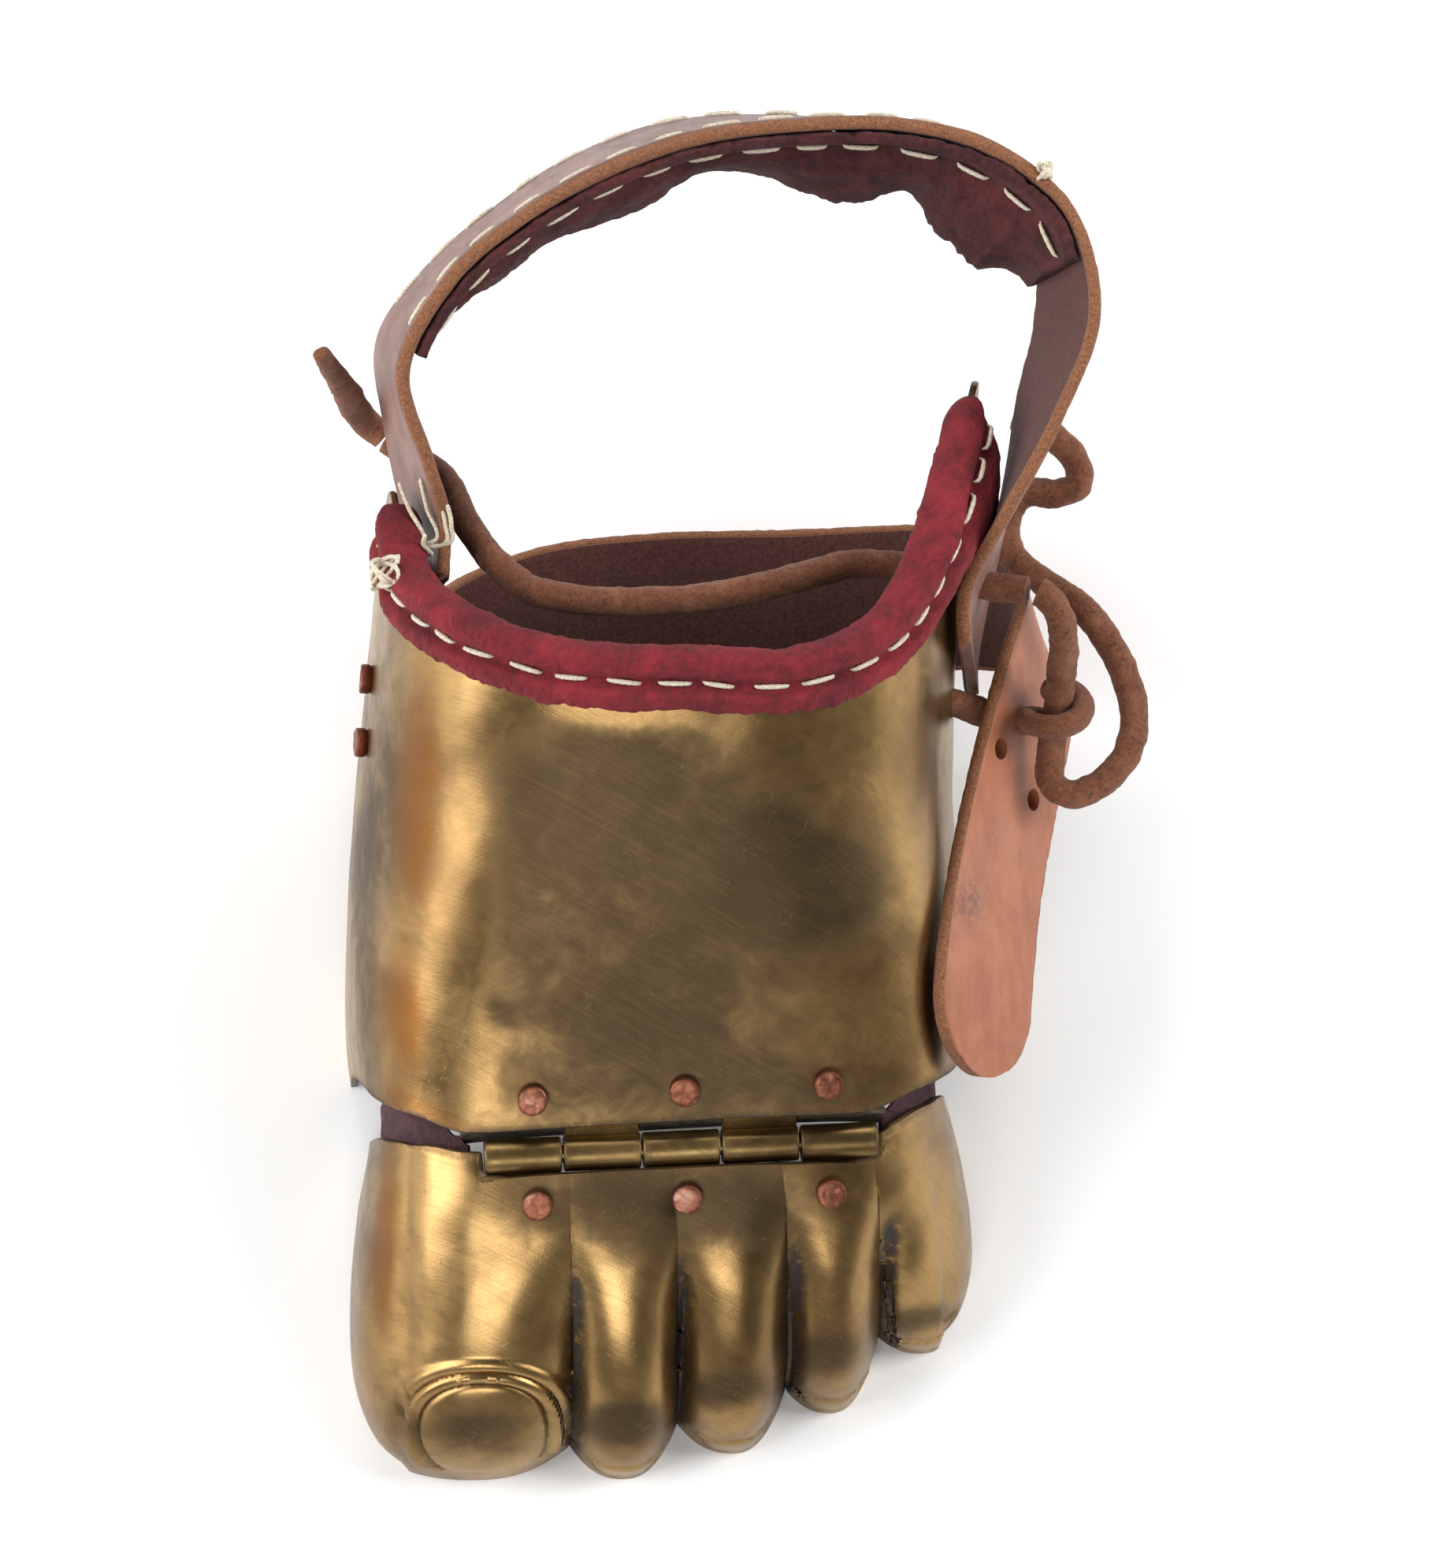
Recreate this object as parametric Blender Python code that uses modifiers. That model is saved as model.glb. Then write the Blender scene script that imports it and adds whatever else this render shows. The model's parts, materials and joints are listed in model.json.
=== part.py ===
"""Left foot guard of an ancient foot soldier: two formed brass plates on a hinge, with leather straps.

Working frame: x to the wearer's outer side (the big toe is at -x), y from the toe tips back to the heel, z up
from the floor. At the end the whole guard is moved so that the middle of its box, at floor level, is the origin.
"""

import math

import bmesh
import bpy
from mathutils import Matrix, Vector

MM = 0.001

# Main sizes
HALF_WIDTH = 54.0 * MM
GUARD_LENGTH = 226.0 * MM
COLLAR_HEIGHT = 98.0 * MM
TOE_HEIGHT = 45.0 * MM

# Brass
PLATE_WALL = 1.2 * MM
HINGE_LENGTH = 69.0 * MM
HINGE_BEHIND_TOES = 0.2146 * GUARD_LENGTH
EDGE_FROM_AXIS = 3.8 * MM
HINGE_DROP = 0.4 * MM
HINGE_SKEW = math.radians(2.6)
BARREL_RADIUS = 3.1 * MM
PIN_RADIUS = 1.5 * MM
LEAF_THICKNESS = 1.2 * MM
LEAF_DEPTH = 13.0 * MM
TOE_LEAF_SLACK = 0.8 * MM
KNUCKLES = 5

# Copper rivets: places along the hinge as shares of its length, and how far they lie from its axis
RIVET_ALONG = (-0.37, 0.01, 0.37)
RIVET_FROM_AXIS = 8.5 * MM
RIVET_HEAD_RADIUS = 2.6 * MM
RIVET_HEAD_HEIGHT = 1.6 * MM
RIVET_HEAD_EDGE = 0.35 * MM
RIVET_TAIL_RADIUS = 2.2 * MM
RIVET_TAIL_HEIGHT = 0.9 * MM
RIVET_SHANK_RADIUS = 1.3 * MM
RIVET_FROM_TRIM = 8.7 * MM

# Leather, suede and lace
STRAP_WIDTH = 30.0 * MM
STRAP_THICKNESS = 3.0 * MM
HEEL_STRAP_WIDTH = 28.0 * MM
HEEL_STRAP_THICKNESS = 2.6 * MM
TRIM_THICKNESS = 2.6 * MM
TRIM_OUTER = 8.5 * MM
TRIM_INNER = 6.0 * MM
PAD_THIN = 2.2 * MM
PAD_THICK = 9.0 * MM
TOE_LINING_THICKNESS = 1.3 * MM
LINING_BEHIND = 10.0 * MM
LINING_SHY = 0.6
LINING_STOP = 0.36
LINING_LATERAL_START = 0.68
LINING_FIRST = 0.04
LINING_SECOND = 0.16
TRIM_FROM = 0.158
TRIM_TO = 0.832
LACE_RADIUS = 2.6 * MM

# How far the cutting shapes reach past what they cut, and the empties' drawn size
BORE_REACH = 14.0 * MM
HINGE_BORE_REACH = 2.0 * MM
LEAF_BORE_REACH = 6.0 * MM
TONGUE_BORE_REACH = 3.0 * MM
RIM_REACH = 2.0 * MM
FLOOR_DEPTH = 10.0 * MM
EMPTY_SIZE = 10.0 * MM

# Clearances
FIT = 0.35 * MM
LEAF_INSET = 0.4 * MM
KNUCKLE_GAP = 0.4 * MM
LACE_FIT = 0.5 * MM

# Sections of the arched plates. y, half width and height are shares of the main sizes; the last
# column is the squareness of the arch (2 is an ellipse).
ARCH_COLUMNS = ("y", "half_width", "height", "middle", "squareness")
ARCH = (
    (0.17, 0.93, 0.425, -0.045, 4.6),
    (0.25, 0.955, 0.525, -0.045, 4.4),
    (0.35, 1.010, 0.700, -0.05, 3.4),
    (0.465, 1.000, 0.890, -0.055, 2.9),
    (0.53, 0.985, 1.000, -0.05, 3.0),
    (0.62, 0.970, 1.100, -0.03, 3.5),
    (0.71, 0.975, 1.160, 0.0, 4.0),
    (0.82, 1.010, 1.190, 0.03, 4.2),
)

# Edges beside the hinge: share of the way round the arch from the medial rim, and how far back the edge
# lies from its place beside the hinge's barrel, as a share of the guard's length.
INSTEP_FRONT = ((0.0, 0.098), (0.06, 0.070), (0.118, 0.048), (0.20, 0.030), (0.272, 0.018), (0.36, 0.002),
                (0.5, 0.0), (0.64, 0.002), (0.728, 0.018), (0.80, 0.030), (0.882, 0.048), (0.94, 0.070),
                (1.0, 0.098))
TOE_REAR = ((0.0, 0.072), (0.10, 0.058), (0.20, 0.038), (0.30, 0.012), (0.36, 0.0), (0.5, 0.0),
            (0.64, 0.0), (0.70, 0.012), (0.80, 0.042), (0.90, 0.070), (1.0, 0.087))

# Rear edge of the instep plate: share of the way round, and y as a share of the guard's length.
INSTEP_REAR = ((0.0, 0.590), (0.05, 0.622), (0.09, 0.660), (0.115, 0.692), (0.135, 0.705), (0.160, 0.685),
               (0.206, 0.628), (0.317, 0.572), (0.42, 0.540), (0.5, 0.531), (0.58, 0.533), (0.683, 0.570),
               (0.761, 0.640), (0.810, 0.720), (0.845, 0.785), (0.870, 0.755), (0.900, 0.670), (0.940, 0.610),
               (1.0, 0.585))

# Sides of the toe plate on the floor, from the rear corner to where the toes begin: share of the way
# round, x as a share of the half width, y as a share of the length.
TOE_MEDIAL_SIDE = ((0.05, -1.035, 0.190), (0.10, -1.050, 0.120), (0.15, -1.030, 0.070),
                   (0.20, -0.960, 0.030), (0.24, -0.860, 0.009))
TOE_LATERAL_SIDE = ((0.80, 0.885, 0.112), (0.84, 0.945, 0.128), (0.88, 0.985, 0.155), (0.92, 0.990, 0.195),
                    (0.96, 0.970, 0.235))

# Toes from the big toe out: middle and half width as shares of the guard's half width, y of the tip,
# and y of the notch on its lateral side, as shares of the length.
# Each row: middle, half width, tip, notch
TOES = (
    (-0.655, 0.325, 0.0, 0.030),
    (-0.165, 0.175, 0.0, 0.045),
    (0.200, 0.180, 0.020, 0.080),
    (0.525, 0.165, 0.052, 0.122),
    (0.830, 0.165, 0.100, 0.135),
)
TOE_SLOPE = 0.42
TOE_NOSE = 3.0
TOE_DOME = 3.4 * MM
GROOVE_DEPTH = 4.2 * MM
GROOVE_WIDTH = 2.6 * MM
TOE_COLUMNS_ACROSS = 40

# Ankle strap. Rows on the plate: share round the arch and y as a share of the length. Free rows: x, y and z
# as shares of the half width, the length and the collar's height, and the lean of the top edge inward.
ANKLE_INSIDE = ((0.128, 0.630), (0.128, 0.668))
ANKLE_COLUMNS = ("x", "y", "z", "lean")
ANKLE_FREE = (
    (-0.875, 0.735, 0.800, 6),
    (-0.928, 0.792, 0.900, 13),
    (-0.772, 0.848, 0.960, 21),
    (-0.564, 0.890, 0.990, 24),
    (-0.310, 0.929, 1.000, 27),
    (0.003, 0.959, 1.000, 28),
    (0.353, 0.968, 1.000, 25),
    (0.699, 0.963, 0.995, 19),
    (0.991, 0.937, 0.980, 10),
    (1.203, 0.886, 0.960, -1),
    (1.245, 0.820, 0.925, -15),
    (1.159, 0.756, 0.865, -15),
    (1.064, 0.695, 0.780, -4),
)
ANKLE_OUTSIDE = ((0.872, 0.620), (0.880, 0.585))
ANKLE_BULGE = 0.8 * MM
ANKLE_INNER_BULGE = 2.6 * MM
STRAP_CENTRE = (0.37, 0.55, 1.73)
PAD_FROM = 0.20
PAD_TO = 0.72

# Heel strap. Free rows: x, y, z as shares and the direction across the strap.
HEEL_INSIDE = ((0.136, 0.553), (0.083, 0.575))
HEEL_BULGE = 1.1 * MM
HEEL_ROW_TILT = math.radians(22)
HEEL_RIVETS = ((0.1005, 0.540), (0.1015, 0.584))
ANKLE_RIVET_Y = 0.655
# Each row: x, y, z, then the across direction as x, y, z
HEEL_FREE = (
    (-0.870, 0.610, 0.260, 0.02, 0.93, 0.36),
    (-0.700, 0.665, 0.135, 0.10, 0.92, 0.38),
    (-0.400, 0.700, 0.082, 0.05, 0.88, 0.46),
    (0.000, 0.712, 0.078, 0.00, 0.87, 0.50),
    (0.450, 0.714, 0.085, 0.05, 0.87, 0.48),
    (0.850, 0.712, 0.135, 0.20, 0.84, 0.48),
    (1.100, 0.690, 0.250, 0.00, 0.66, 0.74),
    (1.215, 0.645, 0.375, -0.25, 0.25, 0.90),
    (1.200, 0.590, 0.430, -0.50, 0.10, 0.84),
    (1.130, 0.520, 0.435, -0.58, 0.05, 0.80),
    (1.055, 0.440, 0.440, -0.61, 0.03, 0.79),
    (1.000, 0.360, 0.475, -0.64, 0.02, 0.77),
    (0.970, 0.275, 0.420, -0.66, 0.00, 0.75),
)
TONGUE_HOLES = ((0.82, -0.18), (0.78, 0.31))
HOLE_RADIUS = 2.0 * MM

# Lace, as chosen points with x, y and z as shares. The run crosses inside the collar, the bar joins the plate
# to the heel strap's tongue, and the strand and the loop lie free on the outer side of the knot.
LACE_RUN = ((-0.945, 0.768, 0.628), (-0.856, 0.753, 0.622), (-0.753, 0.729, 0.653), (-0.682, 0.682, 0.714),
            (-0.582, 0.642, 0.755), (-0.450, 0.617, 0.777), (-0.200, 0.612, 0.765), (0.100, 0.618, 0.755),
            (0.350, 0.634, 0.740), (0.560, 0.650, 0.720), (0.760, 0.650, 0.700), (0.900, 0.640, 0.700),
            (1.035, 0.632, 0.715), (1.130, 0.627, 0.730))
LACE_BAR = ((0.780, 0.565, 0.565), (0.920, 0.566, 0.520), (1.020, 0.563, 0.480), (1.100, 0.560, 0.470),
            (1.180, 0.556, 0.485))
LACE_END = ((-0.9503, 0.7689, 0.6284), (-1.000, 0.7775, 0.640), (-1.045, 0.780, 0.700), (-1.075, 0.780, 0.790),
            (-1.117, 0.779, 0.888), (-1.159, 0.778, 0.990))
LACE_STRAND = ((1.160, 0.6255, 0.736), (1.190, 0.621, 0.734), (1.235, 0.608, 0.710), (1.255, 0.592, 0.655),
               (1.255, 0.583, 0.612))
LACE_LOOP = ((1.235, 0.533, 0.500), (1.235, 0.508, 0.475), (1.310, 0.498, 0.468), (1.415, 0.509, 0.475),
             (1.490, 0.531, 0.490), (1.510, 0.558, 0.510), (1.475, 0.589, 0.535), (1.410, 0.615, 0.560),
             (1.330, 0.640, 0.565), (1.220, 0.662, 0.545), (1.125, 0.686, 0.530), (1.105, 0.716, 0.530),
             (1.165, 0.736, 0.550), (1.265, 0.732, 0.575), (1.335, 0.738, 0.595), (1.315, 0.757, 0.615),
             (1.215, 0.776, 0.640), (1.120, 0.784, 0.655))
LOOSE_LACE = ("lace_end", "lace_strand", "lace_loop", "lace_knot")
KNOT_MIDDLE = (1.244, 0.5575, 0.537)
KNOT_SIZE = (9.0 * MM, 9.0 * MM, 10.0 * MM)

COLOURS = {
    "brass": ((0.42, 0.29, 0.10), 0.3, 1.0),
    "hinge_brass": ((0.40, 0.27, 0.10), 0.4, 1.0),
    "copper": ((0.62, 0.30, 0.19), 0.4, 1.0),
    "leather": ((0.50, 0.25, 0.16), 0.6, 0.0),
    "burgundy": ((0.10, 0.02, 0.03), 0.9, 0.0),
    "red_suede": ((0.28, 0.02, 0.03), 0.95, 0.0),
    "lace": ((0.25, 0.09, 0.04), 0.8, 0.0),
}


def clear_scene():
    for obj in list(bpy.data.objects):
        bpy.data.objects.remove(obj, do_unlink=True)


def curve_value(table, key, column=1):
    """Smooth value of one column of a table at the key, with flat ends and no overshoot."""
    if key <= table[0][0]:
        return table[0][column]
    for before, after in zip(table, table[1:]):
        if key <= after[0]:
            share = (key - before[0]) / (after[0] - before[0])
            break
    else:
        return table[-1][column]
    index = table.index(before)
    left = table[max(index - 1, 0)]
    right = table[min(index + 2, len(table) - 1)]
    span = after[0] - before[0]
    slope_in = (after[column] - left[column]) / max(after[0] - left[0], 1e-9) * span
    slope_out = (right[column] - before[column]) / max(right[0] - before[0], 1e-9) * span
    a, b = before[column], after[column]
    h = share
    return ((2 * h ** 3 - 3 * h ** 2 + 1) * a + (h ** 3 - 2 * h ** 2 + h) * slope_in
            + (3 * h ** 2 - 2 * h ** 3) * b + (h ** 3 - h ** 2) * slope_out)


def arch_at(y):
    key = y / GUARD_LENGTH
    half_width = curve_value(ARCH, key, ARCH_COLUMNS.index("half_width")) * HALF_WIDTH
    height = curve_value(ARCH, key, ARCH_COLUMNS.index("height")) * COLLAR_HEIGHT
    middle = curve_value(ARCH, key, ARCH_COLUMNS.index("middle")) * HALF_WIDTH
    return half_width, height, middle, curve_value(ARCH, key, ARCH_COLUMNS.index("squareness"))


def arch_point(around, y):
    """Point on the instep's arch: around runs from 0 at the medial rim to 1 at the lateral rim."""
    half_width, height, middle, squareness = arch_at(y)
    angle = math.pi * (1.0 - around)
    power = 2.0 / squareness
    across = math.copysign(abs(math.cos(angle)) ** power, math.cos(angle))
    return Vector((middle + half_width * across, y, height * max(math.sin(angle), 0.0) ** power))


def skewed(x, y):
    """Length y moved back towards the outer side, as the line of the hinge is."""
    return y + x * math.tan(HINGE_SKEW)


def instep_edges(around):
    beside_hinge = HINGE_BEHIND_TOES + EDGE_FROM_AXIS
    first = arch_point(around, beside_hinge + curve_value(INSTEP_FRONT, around) * GUARD_LENGTH)
    front = skewed(first.x, first.y)
    return front, curve_value(INSTEP_REAR, around) * GUARD_LENGTH


def instep_surface(around, along):
    front, rear = instep_edges(around)
    return arch_point(around, front + (rear - front) * along)


def surface_normal(surface, around, along, step=0.004):
    here = surface(around, along)
    across = surface(min(around + step, 1.0), along) - surface(max(around - step, 0.0), along)
    back = surface(around, min(along + step, 1.0)) - surface(around, max(along - step, 0.0))
    normal = back.cross(across)
    if normal.length < 1e-12:
        return here, Vector((0, 0, 1))
    normal.normalize()
    return here, normal


def smooth_step(low, high, value):
    share = min(max((value - low) / (high - low), 0.0), 1.0)
    return share * share * (3.0 - 2.0 * share)


def toe_rear_point(around):
    y = HINGE_BEHIND_TOES - EDGE_FROM_AXIS + curve_value(TOE_REAR, around) * GUARD_LENGTH
    point = arch_point(around, HINGE_BEHIND_TOES)
    point.z *= TOE_HEIGHT / arch_at(HINGE_BEHIND_TOES)[1]
    return Vector((point.x, skewed(point.x, y), point.z))


def toe_outline(x):
    """Front edge on the floor across the toes: y of the tips, falling back to the notches between them."""
    share = x / HALF_WIDTH
    for index, (middle, half_width, tip, notch) in enumerate(TOES):
        if share <= middle + half_width or index == len(TOES) - 1:
            break
    inner_notch = TOES[index - 1][3] if index else 0.02
    side = (share - middle) / half_width
    drop = (notch if side > 0 else inner_notch) - tip
    return (tip + drop * min(abs(side), 1.0) ** 2.4) * GUARD_LENGTH


def side_table(rows, corner, last):
    """Rows of one side, with the rear corner's own place in its row."""
    row = (corner, toe_rear_point(corner).x / HALF_WIDTH, toe_rear_point(corner).y / GUARD_LENGTH)
    return rows + (row,) if last else (row,) + rows


def toe_floor_point(around, x):
    if around < TOE_MEDIAL_SIDE[-1][0]:
        side = side_table(TOE_MEDIAL_SIDE, 0.0, last=False)
    elif around > TOE_LATERAL_SIDE[0][0]:
        side = side_table(TOE_LATERAL_SIDE, 1.0, last=True)
    else:
        return Vector((x, toe_outline(x), 0.0))
    return Vector((curve_value(side, around, 1) * HALF_WIDTH, curve_value(side, around, 2) * GUARD_LENGTH, 0.0))


def toe_relief(x, forward):
    """How far the surface sinks beside the toes' crests and in the grooves between them."""
    share = x / HALF_WIDTH
    sink = 0.0
    for index, (middle, half_width, _tip, _notch) in enumerate(TOES):
        side = (share - middle) / half_width
        if abs(side) <= 1.0 or (index == 0 and side < 0) or (index == len(TOES) - 1 and side > 0):
            sink = TOE_DOME * min(abs(side), 1.0) ** 2.6
        if index < len(TOES) - 1:
            away = (share - middle - half_width) * HALF_WIDTH / GROOVE_WIDTH
            sink += GROOVE_DEPTH * math.exp(-away * away) * 0.5
    return sink * smooth_step(0.22, 0.62, forward)


def toe_floor_x(around):
    """x of the front edge where the columns run straight forward over the toes."""
    low, high = TOE_MEDIAL_SIDE[-1], TOE_LATERAL_SIDE[0]
    start = toe_rear_point(low[0]).x
    end = toe_rear_point(high[0]).x
    share = (toe_rear_point(around).x - start) / (end - start)
    return (low[1] + (high[1] - low[1]) * share) * HALF_WIDTH


def toe_surface(around, forward):
    """Point on the toe plate: forward runs from 0 at the rear edge to 1 at the floor."""
    rear = toe_rear_point(around)
    floor = toe_floor_point(around, toe_floor_x(around))
    turn = forward * math.pi / 2
    advance = math.sin(turn) ** (2.0 / TOE_NOSE)
    drop = math.cos(turn) ** (2.0 / TOE_NOSE) if forward < 1.0 else 0.0
    spot = rear.lerp(floor, advance)
    height = rear.z * (1.0 - TOE_SLOPE * advance) * drop
    sink = toe_relief(spot.x, advance) * min(1.0, rear.z / (0.5 * TOE_HEIGHT)) * drop
    return Vector((spot.x, spot.y, max(height - sink, 0.0)))


class Guard:
    """The collections, the empties that carry the pieces, and the shared materials."""

    def __init__(self):
        self.parts = bpy.data.collections.new("foot_guard")
        self.cutters = bpy.data.collections.new("cutters")
        for collection in (self.parts, self.cutters):
            bpy.context.scene.collection.children.link(collection)
        self.root = self.empty("foot_guard_frame", Vector((0, 0, 0)), None)
        self.toe_pivot = self.empty("toe_pivot", hinge_centre(), self.root)

    def empty(self, name, place, parent):
        empty = bpy.data.objects.new(name, None)
        empty.empty_display_size = EMPTY_SIZE
        empty.location = place
        empty.parent = parent
        self.parts.objects.link(empty)
        return empty

    def adopt(self, obj, colour, parent=None):
        """Names the material, hangs the piece on its parent and shades it smooth."""
        parent = parent or self.root
        base, roughness, metallic = COLOURS[colour]
        material = bpy.data.materials.new(obj.name)
        material.use_nodes = True
        shader = material.node_tree.nodes["Principled BSDF"]
        shader.inputs["Base Color"].default_value = (*base, 1.0)
        shader.inputs["Roughness"].default_value = roughness
        shader.inputs["Metallic"].default_value = metallic
        obj.data.materials.clear()
        obj.data.materials.append(material)
        for collection in list(obj.users_collection):
            collection.objects.unlink(obj)
        self.parts.objects.link(obj)
        obj.parent = parent
        if parent is self.toe_pivot:
            obj.data.transform(Matrix.Translation(-parent.location))
        if obj.type == "MESH":
            obj.data.shade_smooth()
            obj.data.set_sharp_from_angle(angle=math.radians(40))
        return obj

    def adopt_cutter(self, obj):
        for collection in list(obj.users_collection):
            collection.objects.unlink(obj)
        self.cutters.objects.link(obj)
        obj.parent = self.root
        obj.hide_render = True
        obj.display_type = "WIRE"
        return obj


def mesh_object(name, points, faces):
    mesh = bpy.data.meshes.new(name)
    mesh.from_pydata([tuple(point) for point in points], [], faces)
    mesh.update()
    return bpy.data.objects.new(name, mesh)


def grid_object(name, rows, keep=None):
    """Open surface from rows of points. Points at one spot, as at a pole, are joined."""
    across = len(rows[0])
    points = [point for row in rows for point in row]
    faces = []
    for i in range(len(rows) - 1):
        for j in range(across - 1):
            if keep is None or keep(i, j):
                faces.append((i * across + j, i * across + j + 1, (i + 1) * across + j + 1, (i + 1) * across + j))
    obj = mesh_object(name, points, faces)
    build = bmesh.new()
    build.from_mesh(obj.data)
    bmesh.ops.remove_doubles(build, verts=build.verts, dist=0.01 * MM)
    loose = [vertex for vertex in build.verts if not vertex.link_faces]
    bmesh.ops.delete(build, geom=loose, context="VERTS")
    bmesh.ops.recalc_face_normals(build, faces=build.faces)
    build.to_mesh(obj.data)
    build.free()
    return obj


def thicken(obj, thickness):
    solid = obj.modifiers.new("wall", "SOLIDIFY")
    solid.thickness = thickness
    solid.offset = 0.0
    solid.use_even_offset = False
    return solid


def boolean(obj, other, operation):
    cut = obj.modifiers.new(operation.lower() + "_" + other.name, "BOOLEAN")
    cut.operation = operation
    cut.solver = "EXACT"
    cut.object = other
    return cut


def loft_object(name, sections):
    """Closed solid through closed sections of the same number of points."""
    count = len(sections[0])
    points = [point for section in sections for point in section]
    faces = []
    for i in range(len(sections) - 1):
        for j in range(count):
            k = (j + 1) % count
            faces.append((i * count + j, i * count + k, (i + 1) * count + k, (i + 1) * count + j))
    faces.append(tuple(range(count))[::-1])
    last = (len(sections) - 1) * count
    faces.append(tuple(range(last, last + count)))
    obj = mesh_object(name, points, faces)
    build = bmesh.new()
    build.from_mesh(obj.data)
    bmesh.ops.recalc_face_normals(build, faces=build.faces)
    build.to_mesh(obj.data)
    build.free()
    return obj


def cylinder_between(name, start, end, radius, sides):
    build = bmesh.new()
    axis = end - start
    turn = Vector((0, 0, 1)).rotation_difference(axis).to_matrix().to_4x4()
    bmesh.ops.create_cone(build, cap_ends=True, segments=sides, radius1=radius, radius2=radius,
                          depth=axis.length, matrix=Matrix.Translation((start + end) / 2) @ turn)
    mesh = bpy.data.meshes.new(name)
    build.to_mesh(mesh)
    build.free()
    return bpy.data.objects.new(name, mesh)


def hinge_centre():
    """On the hinge's axis: the leaves' middle line meets it behind the toe plate."""
    top = toe_rear_point(0.5).z
    return Vector((0.0, HINGE_BEHIND_TOES, top - PLATE_WALL / 2 - FIT - LEAF_THICKNESS / 2 + HINGE_DROP))


def hinge_direction():
    return Vector((math.cos(HINGE_SKEW), math.sin(HINGE_SKEW), 0.0))


def spread(low, high, count):
    return [low + (high - low) * i / (count - 1) for i in range(count)]


def floor_cutter(guard):
    build = bmesh.new()
    size = Matrix.Diagonal((4 * HALF_WIDTH, 2 * GUARD_LENGTH, FLOOR_DEPTH, 1.0))
    place = Matrix.Translation((0, GUARD_LENGTH / 2, -FLOOR_DEPTH / 2))
    bmesh.ops.create_cube(build, size=1.0, matrix=place @ size)
    mesh = bpy.data.meshes.new("floor_cutter")
    build.to_mesh(mesh)
    build.free()
    return guard.adopt_cutter(bpy.data.objects.new("floor_cutter", mesh))


def around_at(x, y):
    """Share of the way round the arch at which it has this x, on its upper side."""
    half_width, _height, middle, squareness = arch_at(y)
    across = min(max((x - middle) / half_width, -1.0), 1.0)
    cosine = math.copysign(abs(across) ** (squareness / 2.0), across)
    return 1.0 - math.acos(cosine) / math.pi


def below_floor(row):
    """A row of the plate's rim, moved straight down, so that the floor cut leaves a flat rim."""
    return [Vector((point.x, point.y, -RIM_REACH)) for point in row]


def instep_plate(guard, floor):
    columns = []
    for around in spread(0.0, 1.0, 43):
        columns.append([instep_surface(around, along) for along in spread(0.0, 1.0, 9)])
    columns = [below_floor(columns[0])] + columns + [below_floor(columns[-1])]
    plate = grid_object("instep_plate", columns)
    guard.adopt(plate, "brass")
    thicken(plate, PLATE_WALL)
    boolean(plate, floor, "DIFFERENCE")
    return plate


def toe_plate(guard, floor):
    low, high = TOE_MEDIAL_SIDE[-1][0], TOE_LATERAL_SIDE[0][0]
    first, last = toe_rear_point(low).x, toe_rear_point(high).x
    middle = [around_at(x, HINGE_BEHIND_TOES) for x in spread(first, last, TOE_COLUMNS_ACROSS)]
    arounds = spread(0.0, low, 7)[:-1] + middle + spread(high, 1.0, 7)[1:]
    rows = []
    for forward in spread(0.0, 1.0, 12):
        rows.append([toe_surface(around, forward) for around in arounds])
    rows.append(below_floor(rows[-1]))
    plate = grid_object("toe_plate", rows)
    guard.adopt(plate, "brass", guard.toe_pivot)
    thicken(plate, PLATE_WALL)
    boolean(plate, floor, "DIFFERENCE")
    return plate


def hinge_frame():
    """Point on the axis, direction along it, and direction back from it."""
    along = hinge_direction()
    return hinge_centre(), along, Vector((-along.y, along.x, 0.0))


def instep_height(x, y):
    return arch_point(around_at(x, y), y).z


def toe_height(x, y):
    around = around_at(x, HINGE_BEHIND_TOES)
    rear = toe_rear_point(around)
    front = toe_floor_point(around, toe_floor_x(around))
    advance = min(max((rear.y - y) / (rear.y - front.y), 0.0), 1.0)
    forward = math.asin(advance ** (TOE_NOSE / 2.0)) * 2.0 / math.pi
    return toe_surface(around, forward).z


def plate_spot(height, x, y, step=0.5 * MM):
    """Point on a plate's middle surface above a spot of the floor plan, and the normal there."""
    slope_x = (height(x + step, y) - height(x - step, y)) / (2 * step)
    slope_y = (height(x, y + step) - height(x, y - step)) / (2 * step)
    return Vector((x, y, height(x, y))), Vector((-slope_x, -slope_y, 1.0)).normalized()


def knuckle_spans():
    pitch = HINGE_LENGTH / KNUCKLES
    start = -HINGE_LENGTH / 2
    return [(start + pitch * k + KNUCKLE_GAP / 2, start + pitch * (k + 1) - KNUCKLE_GAP / 2)
            for k in range(KNUCKLES)]


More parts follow.
